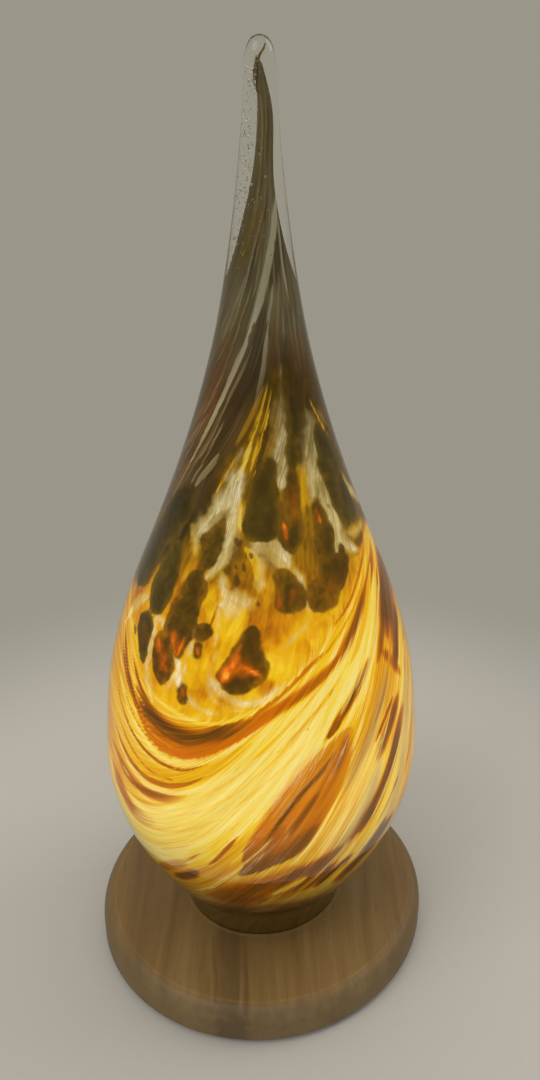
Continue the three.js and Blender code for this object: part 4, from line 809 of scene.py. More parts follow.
# Red-orange rims: cover, half width, path
ORANGE_RIMS = [
    (0.8, 0.9, -52, 149.5, -46, 143, -40, 139.2, -33, 137, -25, 136.2, -18, 138.8, -9, 146, 0, 153,
     9, 160),
    (0.35, 1.4, -44, 144, -36, 140.5, -27, 139.5, -19, 142, -11, 147),
    (0.5, 0.8, -6, 151.5, 3, 158, 12, 163.5, 20, 168.5),
    (0.35, 2.0, -5, 97, 0, 110, 6, 123, 13, 134, 20, 142),
    (0.4, 1.1, 2, 100, 8, 110, 14, 119, 19, 128),
    (0.5, 0.8, -62, 122, -52, 118.6, -43, 117.2, -34, 118, -26, 121.5),
]

# Painted shade: greyer, dimmer glass at the right of the belly: strength, half width in mm, path
SIDE_SHADE_STREAKS = [
    (0.8, 3.4, 22, 80, 31, 97, 38, 110, 44, 126),
    (0.75, 3.6, 44, 72, 51, 92, 58, 113, 64, 136, 69, 156),
    (0.6, 2.6, 28, 118, 37, 133, 45, 147, 53, 160),
]


# Fields of the pattern

def smoothstep(value, low, high):
    t = np.clip((value - low) / (high - low), 0, 1)
    return t * t * (3 - 2 * t)


def wrapped(angle):
    return (angle + 180) % 360 - 180


def periodic(table, angle):
    """A value of a table of (angle, value) at any angle, smooth and the same after a full turn."""
    xs, ys = np.array(sorted(table), float).T
    xs = np.r_[xs[-2:] - 360, xs, xs[:2] + 360]
    ys = np.r_[ys[-2:], ys, ys[:2]]
    slopes = np.gradient(ys, xs)
    angle = wrapped(np.asarray(angle, float))
    part = np.clip(np.searchsorted(xs, angle, side="right") - 1, 0, len(xs) - 2)
    width = xs[part + 1] - xs[part]
    t = (angle - xs[part]) / width
    return cubic(t, ys[part], slopes[part] * width, ys[part + 1], slopes[part + 1] * width)


BACK_TURN = 178  # degrees from the pattern of the front to its copy on the back
FOLLOWS = (90, 150, 240, 300)  # mm, between which a path keeps its height over the boundary
CURVE_PARTS = 4  # straight parts that a smooth curve has between two of its points
OUTSIDE = 2.5  # mm, how far outside a strip its depth is still known
FAR = 8.0  # mm, how far from an outline its distance is still known
THIN = 1.7  # mm, half width up to which a streak is drawn with a sharp edge
STREAK_TAPER = (0.22, 0.6)  # share of the length that tapers at each end, and its power
STRIP_TAPER = (0.25, 0.7)
STREAK_END = (0.25, 0.35)  # width and cover of a streak's ends, as shares of its middle's
STRIP_END = 0.1
SOFT = 0.25  # mm, least width of a streak's edge
WAVES = 7
WAVE_TURNS = (1, 9)  # round the glass, the last one not reached
WAVE_RISE = 0.09  # radians to a mm of height
FLOW_TURN = (0.9, 0.3, 0.75)  # degrees to a mm below the guide, above it and in the neck
FLOW_BEND = (30, 13)  # degrees, and mm of depth over which they build up
FLOW_NECK = 238  # mm
LEAST_REACH = 3  # mm, radius below which a degree keeps its length
LEAST_WIDE = 0.3  # mm to a degree
BENDS = (0.35, 0.45)  # mm, how far the waves bend the pattern round the glass and upwards
BELLY_TONE = 0.66
NECK_PALENESS = 0.3
UPPER_SOFT = 9  # mm on both sides of the neck's edge
UPPER_WAVE = 3  # mm
UPPER_DIM = 0.55  # share of the light that the neck loses

# Tone under the streaks over the height, between the chips and in the lens
CHIP_GROUND = [(160, 0.55), (190, 0.46), (205, 0.36), (225, 0.27), (240, 0.24), (265, 0.2)]
LENS_GROUND = [(84, 0.26), (100, 0.36), (120, 0.46), (140, 0.5)]


def turned_back(points):
    """The same path on the far side, keeping its height over the boundary where it is near it."""
    moved = []
    for angle, height in points:
        there = wrapped(angle + BACK_TURN)
        rise = float(periodic(BOUNDARY, there) - periodic(BOUNDARY, angle))
        rise *= float(smoothstep(height, *FOLLOWS[:2]) * (1 - smoothstep(height, *FOLLOWS[2:])))
        moved.append((there, height + rise))
    return moved


def copies(numbers):
    """The path or outline at the end of a table's line, in front and on the back."""
    points = np.reshape(numbers, (-1, 2)).tolist()
    return points, turned_back(points)


def strokes(table):
    """Value, half width and path of each streak in a table, in front and on the back."""
    return [(value, half, path) for value, half, *numbers in table for path in copies(numbers)]


def rounded(points, closed=False):
    """The path or outline as a smooth curve through its points, its angles free of jumps."""
    table = np.array(points, float)
    table[:, 0] = table[0, 0] + np.cumsum(np.r_[0, wrapped(np.diff(table[:, 0]))])
    if closed:
        table = np.concatenate([table[-1:], table, table[:2]])
        table[0, 0] = table[1, 0] + wrapped(table[0, 0] - table[1, 0])
        table[-2:, 0] = table[1, 0] + wrapped(table[-2:, 0] - table[1, 0])
    else:
        table = np.concatenate([2 * table[:1] - table[1:2], table, 2 * table[-1:] - table[-2:-1]])
    before, start, end, after = table[:-3], table[1:-2], table[2:-1], table[3:]
    slopes = (end - before) / 2, (after - start) / 2
    parts = [cubic(t, start, slopes[0], end, slopes[1]) for t in np.arange(CURVE_PARTS) / CURVE_PARTS]
    curve = np.stack(parts, axis=1).reshape(-1, 2)
    return curve if closed else np.concatenate([curve, table[-2:-1]])


def to_segments(x, z, wide, curve):
    """Distance in mm to the curve, and the share of its length at the nearest place."""
    lengths = np.r_[0, np.cumsum(np.hypot(*np.diff(curve, axis=0).T))]
    best = np.full(len(x), 1e9)
    along = np.zeros(len(x))
    for i in range(len(curve) - 1):
        ax, az = curve[i][0] * wide, curve[i][1]
        dx, dz = (curve[i + 1][0] - curve[i][0]) * wide, curve[i + 1][1] - curve[i][1]
        t = np.clip(((x - ax) * dx + (z - az) * dz) / np.maximum(dx * dx + dz * dz, 1e-9), 0, 1)
        gap = np.hypot(x - ax - t * dx, z - az - t * dz)
        nearer = gap < best
        best[nearer] = gap[nearer]
        along[nearer] = ((lengths[i] + t * (lengths[i + 1] - lengths[i])) / lengths[-1])[nearer]
    return best, along


def taper_at(along, part, power):
    """0 at both ends of a streak and 1 in its middle, over that part of its length."""
    return np.clip(np.minimum(along, 1 - along) / part, 0, 1) ** power


class Surface:
    """Points of the coloured glass as angle, height and mm to a degree, to draw fields on.

    Whatever is drawn in front is drawn again on the back.
    """

    def __init__(self, angle, height, wide):
        self.angle, self.height, self.wide = angle, height, wide

    def filled(self, value):
        return np.full(len(self.angle), float(value))

    def beside(self, curve, margin):
        """The points within that many mm of the curve's box, from its middle, and the curve."""
        low, high = curve.min(axis=0), curve.max(axis=0)
        middle = (low[0] + high[0]) / 2
        turn = wrapped(self.angle - middle)
        near = np.abs(turn) * self.wide < (high[0] - low[0]) / 2 * self.wide + margin
        near &= (self.height > low[1] - margin) & (self.height < high[1] + margin)
        index = np.flatnonzero(near)
        wide = self.wide[index]
        return index, turn[index] * wide, self.height[index], wide, curve - (middle, 0)

    def cover(self, half, path, edge):
        """Points that a streak covers and how much, tapered towards both its ends."""
        index, *near = self.beside(rounded(path), half * (1 + edge) + 2 * SOFT)
        gap, along = to_segments(*near)
        taper = taper_at(along, *STREAK_TAPER)
        least_width, least_cover = STREAK_END
        reach = half * (least_width + (1 - least_width) * taper)
        share = 1 - smoothstep(gap, reach * (1 - edge), reach * (1 + edge) + SOFT)
        return index, share * (least_cover + (1 - least_cover) * taper)

    def paint(self, field, streaks, edge=0.55):
        """The field with each streak laid over it in turn."""
        field = self.filled(0) + field
        for value, half, path in strokes(streaks):
            index, share = self.cover(half, path, edge)
            field[index] += (value - field[index]) * share
        return field

    def inlay(self, strips):
        """How deep each point lies in the strips, in mm and below 0 outside, and its strip's value."""
        depth, values = self.filled(-OUTSIDE), self.filled(0)
        for value, half, path in strokes(strips):
            index, *near = self.beside(rounded(path), half + OUTSIDE)
            gap, along = to_segments(*near)
            width = STRIP_END + (1 - STRIP_END) * taper_at(along, *STRIP_TAPER)
            inside = half * width - gap
            deeper = inside > depth[index]
            depth[index[deeper]] = inside[deeper]
            values[index[deeper]] = value
        return depth, values

    def outlines(self, shapes):
        """Signed distance in mm to the nearest of the outlines, below 0 inside, and its value."""
        nearest, values = self.filled(FAR), self.filled(0)
        for value, *corners in shapes:
            for outline in copies(corners):
                index, x, z, wide, curve = self.beside(rounded(outline, closed=True), FAR)
                ring = np.concatenate([curve, curve[:1]])
                gap, _ = to_segments(x, z, wide, ring)
                inside = np.zeros(len(x), bool)
                for (a, low), (b, high) in zip(ring, ring[1:]):
                    crosses = (low > z) != (high > z)
                    slope = (b - a) / (high - low if high != low else TINY)
                    inside ^= crosses & (x < (a + (z - low) * slope) * wide)
                gap[inside] *= -1
                nearer = gap < nearest[index]
                nearest[index[nearer]] = gap[nearer]
                values[index[nearer]] = value
        return nearest, values

    def glow(self, embers, edge):
        """The strongest of the embers at each point."""
        total = self.filled(0)
        for strength, half, path in strokes(embers):
            index, share = self.cover(half, path, edge)
            total[index] = np.maximum(total[index], strength * share)
        return total


def ripple(angle, height, seed):
    """A slow wave over the glass, the same after a full turn."""
    random = np.random.default_rng(seed)
    total = np.zeros(len(angle))
    for _ in range(WAVES):
        turns = random.integers(*WAVE_TURNS)
        rise = random.uniform(-WAVE_RISE, WAVE_RISE)
        total += np.sin(np.radians(angle) * turns + height * rise + random.uniform(0, FULL_TURN))
    return total / 3


def by_width(streaks):
    """The broad streaks and the thin ones."""
    return [s for s in streaks if s[1] > THIN], [s for s in streaks if s[1] <= THIN]


def flow_of(angle, height):
    """Coordinates along the lines of flow, bent where the belly's streaks meet the chips."""
    guide = periodic(FLOW_GUIDE, angle) - height
    depth, above = np.maximum(guide, 0), np.maximum(-guide, 0)
    below_turn, above_turn, neck_turn = FLOW_TURN
    flow = angle + below_turn * depth + FLOW_BEND[0] * (1 - np.exp(-depth / FLOW_BEND[1]))
    flow -= above_turn * above + neck_turn * np.maximum(height - FLOW_NECK, 0)
    flow = np.radians(flow)
    return np.stack([np.sin(flow), np.cos(flow), height / 100], axis=1)


def at_height(table, height):
    return np.interp(height, *zip(*table))


def pattern_fields(points):
    """Every field of the coloured glass at the mesh's points."""
    x, y, z = points.T / MM
    angle = np.degrees(np.arctan2(x, -y))
    wave = {seed: ripple(angle, z, seed) for seed in range(3, 9)}
    wide = np.radians(np.maximum(np.hypot(x, y), LEAST_REACH))
    bent_angle = angle + BENDS[0] * wave[3] / np.maximum(wide, LEAST_WIDE)
    glass = Surface(bent_angle, z + BENDS[1] * wave[4], wide)

    below = periodic(BOUNDARY, angle) - z
    tone = np.where(below < 0, at_height(CHIP_GROUND, z) + 0.05 * wave[6], BELLY_TONE + 0.1 * wave[5])
    broad, narrow = by_width(BELLY_STREAKS + CHIP_ZONE_STREAKS)
    thin, thin_tone = glass.inlay(narrow)
    neck_broad, neck_narrow = by_width(NECK_STREAKS)
    neck_line, neck_line_tone = glass.inlay(neck_narrow)
    cream, cream_share = glass.inlay(VEINS)
    chip, warm = glass.outlines(CHIPS)
    upper = z - periodic(UPPER_EDGE, angle) - UPPER_WAVE * wave[8]
    upper = smoothstep(upper, -UPPER_SOFT, UPPER_SOFT)
    return {
        "flow": flow_of(angle, z),
        "tone": glass.paint(tone, broad),
        "thin": thin,
        "thin_tone": thin_tone,
        "orange_rim": glass.paint(0, ORANGE_RIMS, 0.7),
        "side_shade": glass.paint(0, SIDE_SHADE_STREAKS, 0.9),
        "haze": glass.paint(0, CREAM_HAZE, 0.8),
        "cream": cream,
        "cream_share": cream_share,
        "grain": glass.inlay([(1.0, *grain) for grain in GRAINS])[0],
        "chip": chip,
        "warm": warm,
        "lens": glass.outlines([(0, *LENS)])[0],
        "within": glass.paint(at_height(LENS_GROUND, z), LENS_STREAKS),
        "ember": glass.glow(EMBERS, 0.9),
        "pale": glass.paint(NECK_PALENESS + 0.07 * wave[7], neck_broad, 0.45),
        "neck_line": neck_line,
        "neck_line_tone": neck_line_tone,
        "neck_gold": glass.paint(0, NECK_GOLD, 0.6),
        "neck_rust": glass.paint(0, NECK_RUST, 0.7),
        "upper": upper,
        "lit": at_height(LIT_LEVELS, z) * (1 - UPPER_DIM * upper),
        "rise": z / 400,
        "chips_here": smoothstep(-below, -2, 4),
    }


def store_fields(mesh, fields):
    for name, values in fields.items():
        kind, key = ("FLOAT_VECTOR", "vector") if values.ndim == 2 else ("FLOAT", "value")
        layer = mesh.attributes.new(name, kind, "POINT")
        layer.data.foreach_set(key, values.astype(np.float32).ravel())


# Looks of the glass

TONES = [
    (0.0, (62, 44, 8)), (0.12, (92, 58, 6)), (0.22, (126, 74, 4)), (0.32, (166, 90, 2)),
    (0.42, (196, 114, 2)), (0.52, (216, 146, 3)), (0.62, (232, 176, 8)), (0.74, (242, 200, 34)),
    (0.86, (242, 212, 84)), (1.0, (238, 220, 136)),
]
OLIVE_TONES = [
    (0.0, (54, 42, 10)), (0.15, (82, 60, 8)), (0.3, (112, 80, 6)), (0.45, (160, 114, 8)),
    (0.6, (204, 152, 12)), (0.78, (226, 186, 40)), (0.95, (236, 212, 100)),
]
CREAMS = [
    (0.15, (148, 126, 70)), (0.4, (190, 172, 116)), (0.65, (216, 204, 158)), (0.9, (240, 234, 208)),
]
BELLY_CREAMS = [
    (0.15, (176, 144, 52)), (0.4, (214, 184, 84)), (0.65, (236, 212, 118)), (0.9, (248, 234, 172)),
]
NECK_TONES = [
    (0.0, (94, 81, 53)), (0.3, (135, 123, 89)), (0.5, (158, 146, 111)), (0.72, (194, 186, 153)),
    (1.0, (232, 226, 198)),
]
LOW_NECK_TONES = [
    (0.0, (66, 48, 20)), (0.3, (98, 76, 40)), (0.5, (122, 98, 56)), (0.72, (164, 142, 98)),
    (1.0, (214, 200, 158)),
]
OLIVE_CHIP = [(0.1, (54, 42, 6)), (0.5, (76, 60, 12)), (0.9, (112, 84, 14))]
AMBER_CHIP = [(0.15, (62, 44, 4)), (0.5, (98, 64, 3)), (0.8, (156, 98, 3))]
EMBER_TONES = [
    (0.15, (138, 76, 1)), (0.45, (204, 98, 2)), (0.75, (247, 116, 12)), (1.0, (254, 172, 52)),
]
# Browns of the foot: partly the glass's tone, partly a painted reflection of the wood round it
FOOT_TONES = [(0.15, (104, 74, 30)), (0.4, (124, 91, 40)), (0.8, (158, 126, 72))]


class ColouredGlass(Look):
    """The coloured layer: one method to a region, on noises drawn along the flow of the glass."""

    def __init__(self):
        super().__init__("coloured_glass", Roughness=0.3, IOR=1.45)
        self.set("Specular IOR Level", 0.0)
        self.flow, place = self.field("flow", "Vector"), self.place()
        self.broad = self.drawn((9, 9, 1.4), 3, 0.55, 0.3)
        self.middle = self.drawn((64, 64, 5), 2, 0.5, 0.15)
        self.fine = self.drawn((38, 38, 4), 3, 0.6, 0.2)
        self.hair = self.drawn((120, 120, 6), 2, 0.6)
        self.grit = self.noise(place, 420, 3, 0.6)
        self.blotch = self.noise(self.scaled(place, (1, 1, 0.6)), 85, 4, 0.6, 0.5)
        self.cloud = self.noise(self.scaled(place, (1, 1, 0.7)), 48, 3, 0.55, 0.6)
        self.ragged = self.noise(place, 170, 3, 0.55)
        self.lumpy = self.noise(place, 75, 2, 0.5, 0.4)
        self.flecks = self.cells(place, 700)
        self.rise = self.field("rise")
        self.upper = self.field("upper")
        self.chips_here = self.field("chips_here")
        self.lower = self.minus(1.0, self.chips_here)

        tone, shift = self.belly_tone()
        tone = self.sharp_streaks(tone, shift, "thin", 0.6, (-0.5, 0.4), (-0.3, 0.35), 0.92)
        colour = self.belly(tone)
        colour, cream_cover = self.creams(colour, tone)
        colour = self.mix(self.upper, colour, self.neck())
        colour = self.chips(colour)
        colour, foot = self.foot(colour)

        pale_share = self.most(self.upper, self.times(cream_cover, 0.45), self.times(foot, 0.8))
        reflect = self.span(pale_share, 0, 1, 0.25, 1.0, "LINEAR")
        self.set("Base Color", self.mix(1.0, colour, reflect, "MULTIPLY"))
        self.set("Emission Color", self.mix(1.0, colour, self.field("lit"), "MULTIPLY"))
        self.set("Emission Strength", 0.96)
        self.bump(self.plus(self.broad, self.times(self.fine, 0.4)), 0.25, 0.0006)

    def drawn(self, stretch, detail=2, roughness=0.5, distortion=0.0):
        """A noise along the lines of flow."""
        return self.noise(self.scaled(self.flow, stretch), 1, detail, roughness, distortion)

    def belly_tone(self):
        """The drawn tone with the noises on it, and what they shift it by."""
        drawn = self.drawn((22, 22, 5), 3, 0.6, 0.4)
        shift = self.times(self.drift(self.broad, -0.07, 0.07, 0.25, 0.75), self.lower)
        for noise, share in (
            (self.drift(self.fine, -0.11, 0.1, 0.28, 0.72), self.lower),
            (self.drift(self.hair, -0.05, 0.045, 0.32, 0.68), self.lower),
            (self.drift(self.blotch, -0.15, 0.15), self.chips_here),
            (self.drift(drawn, -0.07, 0.07), self.chips_here),
        ):
            shift = self.onto(shift, noise, share)
        return self.plus(self.field("tone"), shift, clamp=True), shift

    def sharp_streaks(self, tone, shift, name, shifted, rough, edge, cover):
        """The tone with the thin streaks of a field and their own tone over it."""
        depth = self.plus(self.field(name), self.drift(self.fine, *rough))
        own = self.onto(self.field(name + "_tone"), shift, shifted)
        step = self.times(self.minus(own, tone), self.times(self.span(depth, *edge), cover))
        return self.plus(tone, step, clamp=True)

    def belly(self, tone):
        """The glass below the neck, without its cream and its chips."""
        colour = self.ramp(tone, TONES)
        lens_edge = self.plus(self.field("lens"), self.drift(self.fine, -0.8, 0.6))
        lens_tone = self.plus(
            self.field("within"), self.drift(self.broad, -0.05, 0.05),
            self.drift(self.hair, -0.05, 0.05), clamp=True,
        )
        colour = self.mix(self.span(lens_edge, -0.9, 0.7, 1, 0), colour, self.ramp(lens_tone, TONES))
        rim_cover = self.times(self.field("orange_rim"), self.span(self.fine, 0.3, 0.62, 0.45, 1))
        colour = self.mix(rim_cover, colour, (214, 100, 0))

        # hair-thin cream and olive lines drawn along the flow
        bright = self.times(self.lower, self.span(tone, 0.5, 0.75))
        for noise, middle, width, where, strength, line in (
            (self.fine, 0.53, 0.04, (0.42, 0.6), 0.7, (246, 232, 184)),
            (self.middle, 0.44, 0.035, (0.62, 0.42), 0.5, (158, 112, 22)),
        ):
            cover = self.span(self.away(noise, middle), 0.0, width, 1, 0)
            cover = self.times(cover, self.span(self.broad, *where), bright, strength)
            colour = self.mix(cover, colour, line)

        # painted shade: the right of the belly turned greyer and dimmer
        side_shade_cover = self.times(self.field("side_shade"), self.span(self.broad, 0.3, 0.6, 0.6, 1.1), clamp=True)
        greyish = self.mix(self.span(tone, 0.3, 0.7), (122, 84, 36), (188, 156, 102))
        colour = self.mix(side_shade_cover, colour, greyish)

        # orange clouds, then olive glass between the chips, more of it towards the neck
        orange = self.times(
            self.span(self.cloud, 0.5, 0.64, 0, 0.55), self.chips_here, self.span(tone, 0.25, 0.5)
        )
        colour = self.mix(orange, colour, (222, 142, 6))
        olive = self.times(self.span(self.rise, 0.45, 0.55, 0.1, 1), self.chips_here)
        return self.mix(olive, colour, self.ramp(tone, OLIVE_TONES))

    def creams(self, colour, tone):
        """The cream lines, veins and haze over the belly, and how much they cover."""
        combed = self.times(self.drift(self.hair, -0.12, 0.12), self.lower)
        clouded = self.times(self.drift(self.blotch, -0.24, 0.26), self.chips_here)
        cream_tone = self.plus(
            self.drift(self.broad, 0.36, 0.8, 0.25, 0.75), self.plus(combed, clouded),
            self.span(self.rise, 0.5, 0.62, 0, -0.2), clamp=True,
        )
        cream = self.mix(
            self.chips_here, self.ramp(cream_tone, BELLY_CREAMS), self.ramp(cream_tone, CREAMS)
        )

        combing = self.onto(self.times(self.fine, 0.5), self.middle, 0.5)
        torn = self.mix(
            self.chips_here, self.drift(combing, 0.4, 1.2, 0.36, 0.6),
            self.drift(self.ragged, 0.3, 1.2, 0.3, 0.6),
        )
        haze = self.times(self.field("haze"), torn, clamp=True)
        edge = self.plus(self.field("cream"), self.plus(
            self.times(self.drift(self.fine, -0.7, 0.5), self.lower),
            self.times(self.drift(self.ragged, -1.3, 0.6), self.chips_here),
        ))
        soft = self.times(self.chips_here, 0.6)
        cover = self.span(edge, self.minus(-0.4, soft), self.plus(0.5, soft))
        fibre = self.span(self.drawn((46, 46, 11), 4, 0.6, 1.2), 0.42, 0.6, 0, 0.6)
        whole = self.minus(1.0, self.times(fibre, self.chips_here))
        cover = self.most(self.times(cover, self.field("cream_share"), whole), haze, clamp=True)
        gilded = self.times(
            self.span(edge, -2.2, -0.2, 0, 0.5), self.chips_here, self.span(self.rise, 0.66, 0.5)
        )
        colour = self.mix(gilded, colour, (226, 180, 38))
        return self.mix(cover, colour, cream), cover

    def neck(self):
        """The unlit glass of the neck: pale streaks with olive gold and rust between them."""
        shift = self.plus(self.drift(self.broad, -0.16, 0.16, 0.25, 0.75), self.plus(
            self.drift(self.fine, -0.15, 0.17, 0.25, 0.75), self.drift(self.hair, -0.1, 0.1)
        ))
        tone = self.plus(self.field("pale"), shift, clamp=True)
        tone = self.sharp_streaks(tone, shift, "neck_line", 0.7, (-0.35, 0.3), (-0.25, 0.3), 0.9)
        low = self.span(self.rise, 0.75, 0.66)
        colour = self.mix(low, self.ramp(tone, NECK_TONES), self.ramp(tone, LOW_NECK_TONES))
        tint = self.span(tone, 0.5, 0.8, 0.85, 0.2)
        gilt = self.times(self.field("neck_gold"), tint, self.span(self.broad, 0.3, 0.55, 0.5, 1))
        colour = self.mix(gilt, colour, self.mix(low, (142, 118, 56), (112, 88, 34)))
        rust = self.most(
            self.times(self.span(self.drawn((5, 5, 2)), 0.5, 0.68), 0.3),
            self.times(self.field("neck_rust"), self.span(self.broad, 0.3, 0.6, 0.4, 1)),
        )
        return self.mix(self.times(rust, tint), colour, self.mix(low, (136, 100, 72), (146, 92, 48)))

    def chips(self, colour):
        """The dark chips with the bulb shining through some of them, then grains and flecks."""
        edge = self.plus(
            self.field("chip"), self.drift(self.ragged, -1.0, 0.5, 0.25, 0.75),
            self.drift(self.lumpy, -1.0, 0.7),
        )
        depth = self.plus(self.drift(self.blotch, -0.3, 0.3), self.drift(self.grit, -0.12, 0.12))
        olive = self.ramp(self.plus(depth, self.span(edge, -3.5, -0.2, 0.44, 0.72)), OLIVE_CHIP)
        amber = self.ramp(self.plus(depth, self.span(edge, -5, 0, 0.42, 0.62)), AMBER_CHIP)
        colour = self.mix(self.span(edge, -0.7, 0.5, 1, 0), colour,
                          self.mix(self.field("warm"), olive, amber))

        flicker = self.times(self.drift(self.ragged, 0.55, 1.1, 0.3, 0.65),
                             self.span(self.blotch, 0.3, 0.62, 0.7, 1.1))
        ember = self.times(self.field("ember"), flicker, clamp=True)
        ember = self.times(ember, self.span(edge, -1.2, 0.2, 1, 0))
        colour = self.mix(ember, colour, self.ramp(ember, EMBER_TONES))
        grain = self.plus(self.field("grain"), self.drift(self.ragged, -0.9, 0.7))
        colour = self.mix(self.span(grain, -0.4, 0.5, 0, 0.8), colour, (84, 56, 10))
        fleck = self.times(self.span(self.flecks, 0.0, 0.1, 1, 0), self.span(self.blotch, 0.5, 0.6))
        return self.mix(self.times(fleck, 0.35), colour, (90, 60, 20))

    def foot(self, colour):
        """The foot in the seat, painted brown, partly as the glass's own tone and partly as a painted
        reflection of the wood, and where it is.
        """
        foot = self.span(self.rise, 0.165, 0.11, 0, 1)
        tone = self.onto(self.field("tone"), self.minus(self.broad, 0.5), 0.5, clamp=True)
        return self.mix(self.times(foot, 0.85), colour, self.ramp(tone, FOOT_TONES)), foot


def clear_glass():
    look = Look("clear_glass", Roughness=0.0, IOR=1.46, Transmission_Weight=1.0)
    look.set("Specular Tint", (0.55, 0.55, 0.55, 1))
    # painted shade: the glass tinted darker where it is seen edge-on, a dark rim along its outline
    facing = look.add("ShaderNodeLayerWeight").outputs["Facing"]
    look.set("Base Color", look.mix(look.span(facing, 0.72, 1.0), (250, 251, 246), (150, 146, 134)))
    place = look.place()
    wave = look.noise(look.scaled(place, (1, 1, 0.5)), 22, 2, 0.4)
    grain = look.noise(place, 160, 2, 0.5)
    look.bump(look.onto(wave, grain, 0.08), 0.12, 0.002)
    return look.material


# Shade

CORE_SIDES = 384
INNER_SIDES = CORE_SIDES // 2
CASING_SIDES = 256
ROW_STEP = 1.1 * MM
CASING_STEP = 1.6 * MM
CORE_INNER_STEP = 8 * MM
CASING_INNER_STEP = 4 * MM
COARSE_BELOW = 48 * MM
COARSE_ABOVE = 285 * MM
COARSEST_ABOVE = 335 * MM
SHADE_SMOOTH = 60  # degrees


def shade_sides(most):
    """Rings of full sides over the belly and chips, and of fewer in the foot, neck and tip."""
    def count(_, height):
        if height > COARSEST_ABOVE:
            return most // 4
        return most if COARSE_BELOW <= height <= COARSE_ABOVE else most // 2
    return count


def outer_rows(node, step):
    """(radius, height) rows of a node's outer wall from its foot to its rounded top."""
    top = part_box(node)[1].z
    pairs = [(z, r) for z, r in wall_points(node, True) if z < top - TINY] + [(top, 0.0)]
    rows = smooth_curve(pairs, step, flat_end=True)
    return [(max(r, 0.0), z) for z, r in rows[:-1]] + [(0.0, top)]


core_wall = wall_points("colour_core", False)
cavity_top = core_wall[-1][0]
core_inner = [(max(r, 0.0), z) for z, r in smooth_curve(core_wall, CORE_INNER_STEP)]
if core_inner[-1][0] < TINY:
    core_inner.pop()
core_inner.append((0.0, cavity_top))
inner_rings = {height for _, height in core_inner}
fine_rings = shade_sides(CORE_SIDES)


def core_sides(radius, height):
    return INNER_SIDES if height in inner_rings else fine_rings(radius, height)


# The strand in the neck as the photograph shows it: height, radius and how far it leans to
# the right, in mm
STRAND = [
    (296, 12.7, 0), (301.5, 11.2, 0), (310.7, 8.6, 0), (322, 6.1, 0), (333, 4.2, 0.15),
    (343, 2.85, 0.5), (353.5, 2.2, 0.95), (362, 2.0, 1.2), (368, 1.75, 1.05), (374, 1.3, 0.5),
    (378, 0.9, 0.1), (380.5, 0.5, -0.1),
]
STRAND_BLEND = 22 * MM  # height over which the solid's outline runs into the strand
BLEND_ROWS = 5
LEAN_STEP = 0.5 * MM
strand_heights, strand_radii, strand_leans = np.array(STRAND).T * MM


def strand_rows(rows):
    """The outer rows with the neck's radius from the table."""
    start = strand_heights[0] - STRAND_BLEND
    below = [(z, r) for r, z in rows if z < start][-BLEND_ROWS:]
    table = below + list(zip(strand_heights, strand_radii)) + [(rows[-1][1], 0.0)]
    smooth = smooth_curve(table, ROW_STEP, flat_end=True)
    kept = [(r, z) for r, z in rows if z < smooth[0][0] - TINY]
    return kept + [(max(r, 0.0), z) for z, r in smooth[:-1]] + [rows[-1]]


# Threads of glass at the end of the strand: places and radii in mm
THREADS = [
    ([(-0.6, 0, 375), (-0.75, 0, 378), (-0.6, 0, 381), (0, 0, 383), (0.9, 0, 384.6), (1.25, 0, 386)],
     (0.3, 0.45, 0.4, 0.3, 0.25, 0.15)),
    ([(-0.5, -0.5, 371), (-1.15, -0.6, 374), (-1.3, -0.6, 377.5), (-1.05, -0.5, 380.5),
      (-0.9, -0.4, 382.6)], (0.25, 0.5, 0.5, 0.35, 0.15)),
]


def thread(path, radii, start, sides=8):
    """A thin closed tube of coloured glass, its vertices numbered from start."""
    middle = np.array(path, float) * MM
    along = np.gradient(middle, axis=0)
    along /= np.linalg.norm(along, axis=1)[:, None]
    side = np.cross(along, (0, 1, 0))
    side /= np.linalg.norm(side, axis=1)[:, None]
    other = np.cross(along, side)
    turn = np.arange(sides)[:, None] * FULL_TURN / sides
    rings = [m + r * MM * (np.cos(turn) * s + np.sin(turn) * o)
             for m, r, s, o in zip(middle, radii, side, other)]
    rows = [list(range(first, first + sides)) for first in range(start, start + len(rings) * sides, sides)]
    faces = [tuple(rows[0][::-1]), tuple(rows[-1])]
    for low, high in zip(rows, rows[1:]):
        faces.extend(band(low, high))
    return np.concatenate(rings), faces


core_outer = strand_rows(outer_rows("colour_core", ROW_STEP))
core_points, core_faces = turned(core_inner[::-1] + core_outer, core_sides)
strand_count = len(core_points)
for thread_path, thread_radii in THREADS:
    added_points, added_faces = thread(thread_path, thread_radii, len(core_points))
    core_points = np.concatenate([core_points, added_points])
    core_faces += added_faces
fields = pattern_fields(core_points)
fields["neck_gold"][strand_count:] = 1
fields["pale"][strand_count:] = 0.5
lean = smooth_curve(list(zip(strand_heights, strand_leans)), LEAN_STEP)
core_points[:strand_count, 0] += np.interp(core_points[:strand_count, 2], *lean.T)
core = mesh_object("coloured_glass_layer", core_points, core_faces, ColouredGlass().material, "shade",
                   SHADE_SMOOTH)
store_fields(core.data, fields)
stands_for("colour_core")

EMBED = 0.7 * MM  # how deep the casing's inner wall lies in the coloured layer
CASING_CLOSE = cavity_top + 1.5 * MM
core_radii, core_heights = np.array(core_outer).T
casing_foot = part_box("glass_casing")[0].z
casing_inner = [(float(np.interp(z, core_heights, core_radii)) - EMBED, float(z))
                for z in np.arange(casing_foot, CASING_CLOSE, CASING_INNER_STEP)]
casing_profile = [(0.0, CASING_CLOSE)] + casing_inner[::-1] + outer_rows("glass_casing", CASING_STEP)

BUBBLES = 340
BUBBLE_SEED = 11
BUBBLE_LEVELS = (306, 381)  # mm
BUBBLE_SIZES = (0.1, 0.3)  # mm, radius
BUBBLE_SIDE = (-72, 38)  # degrees: most of them are at the left


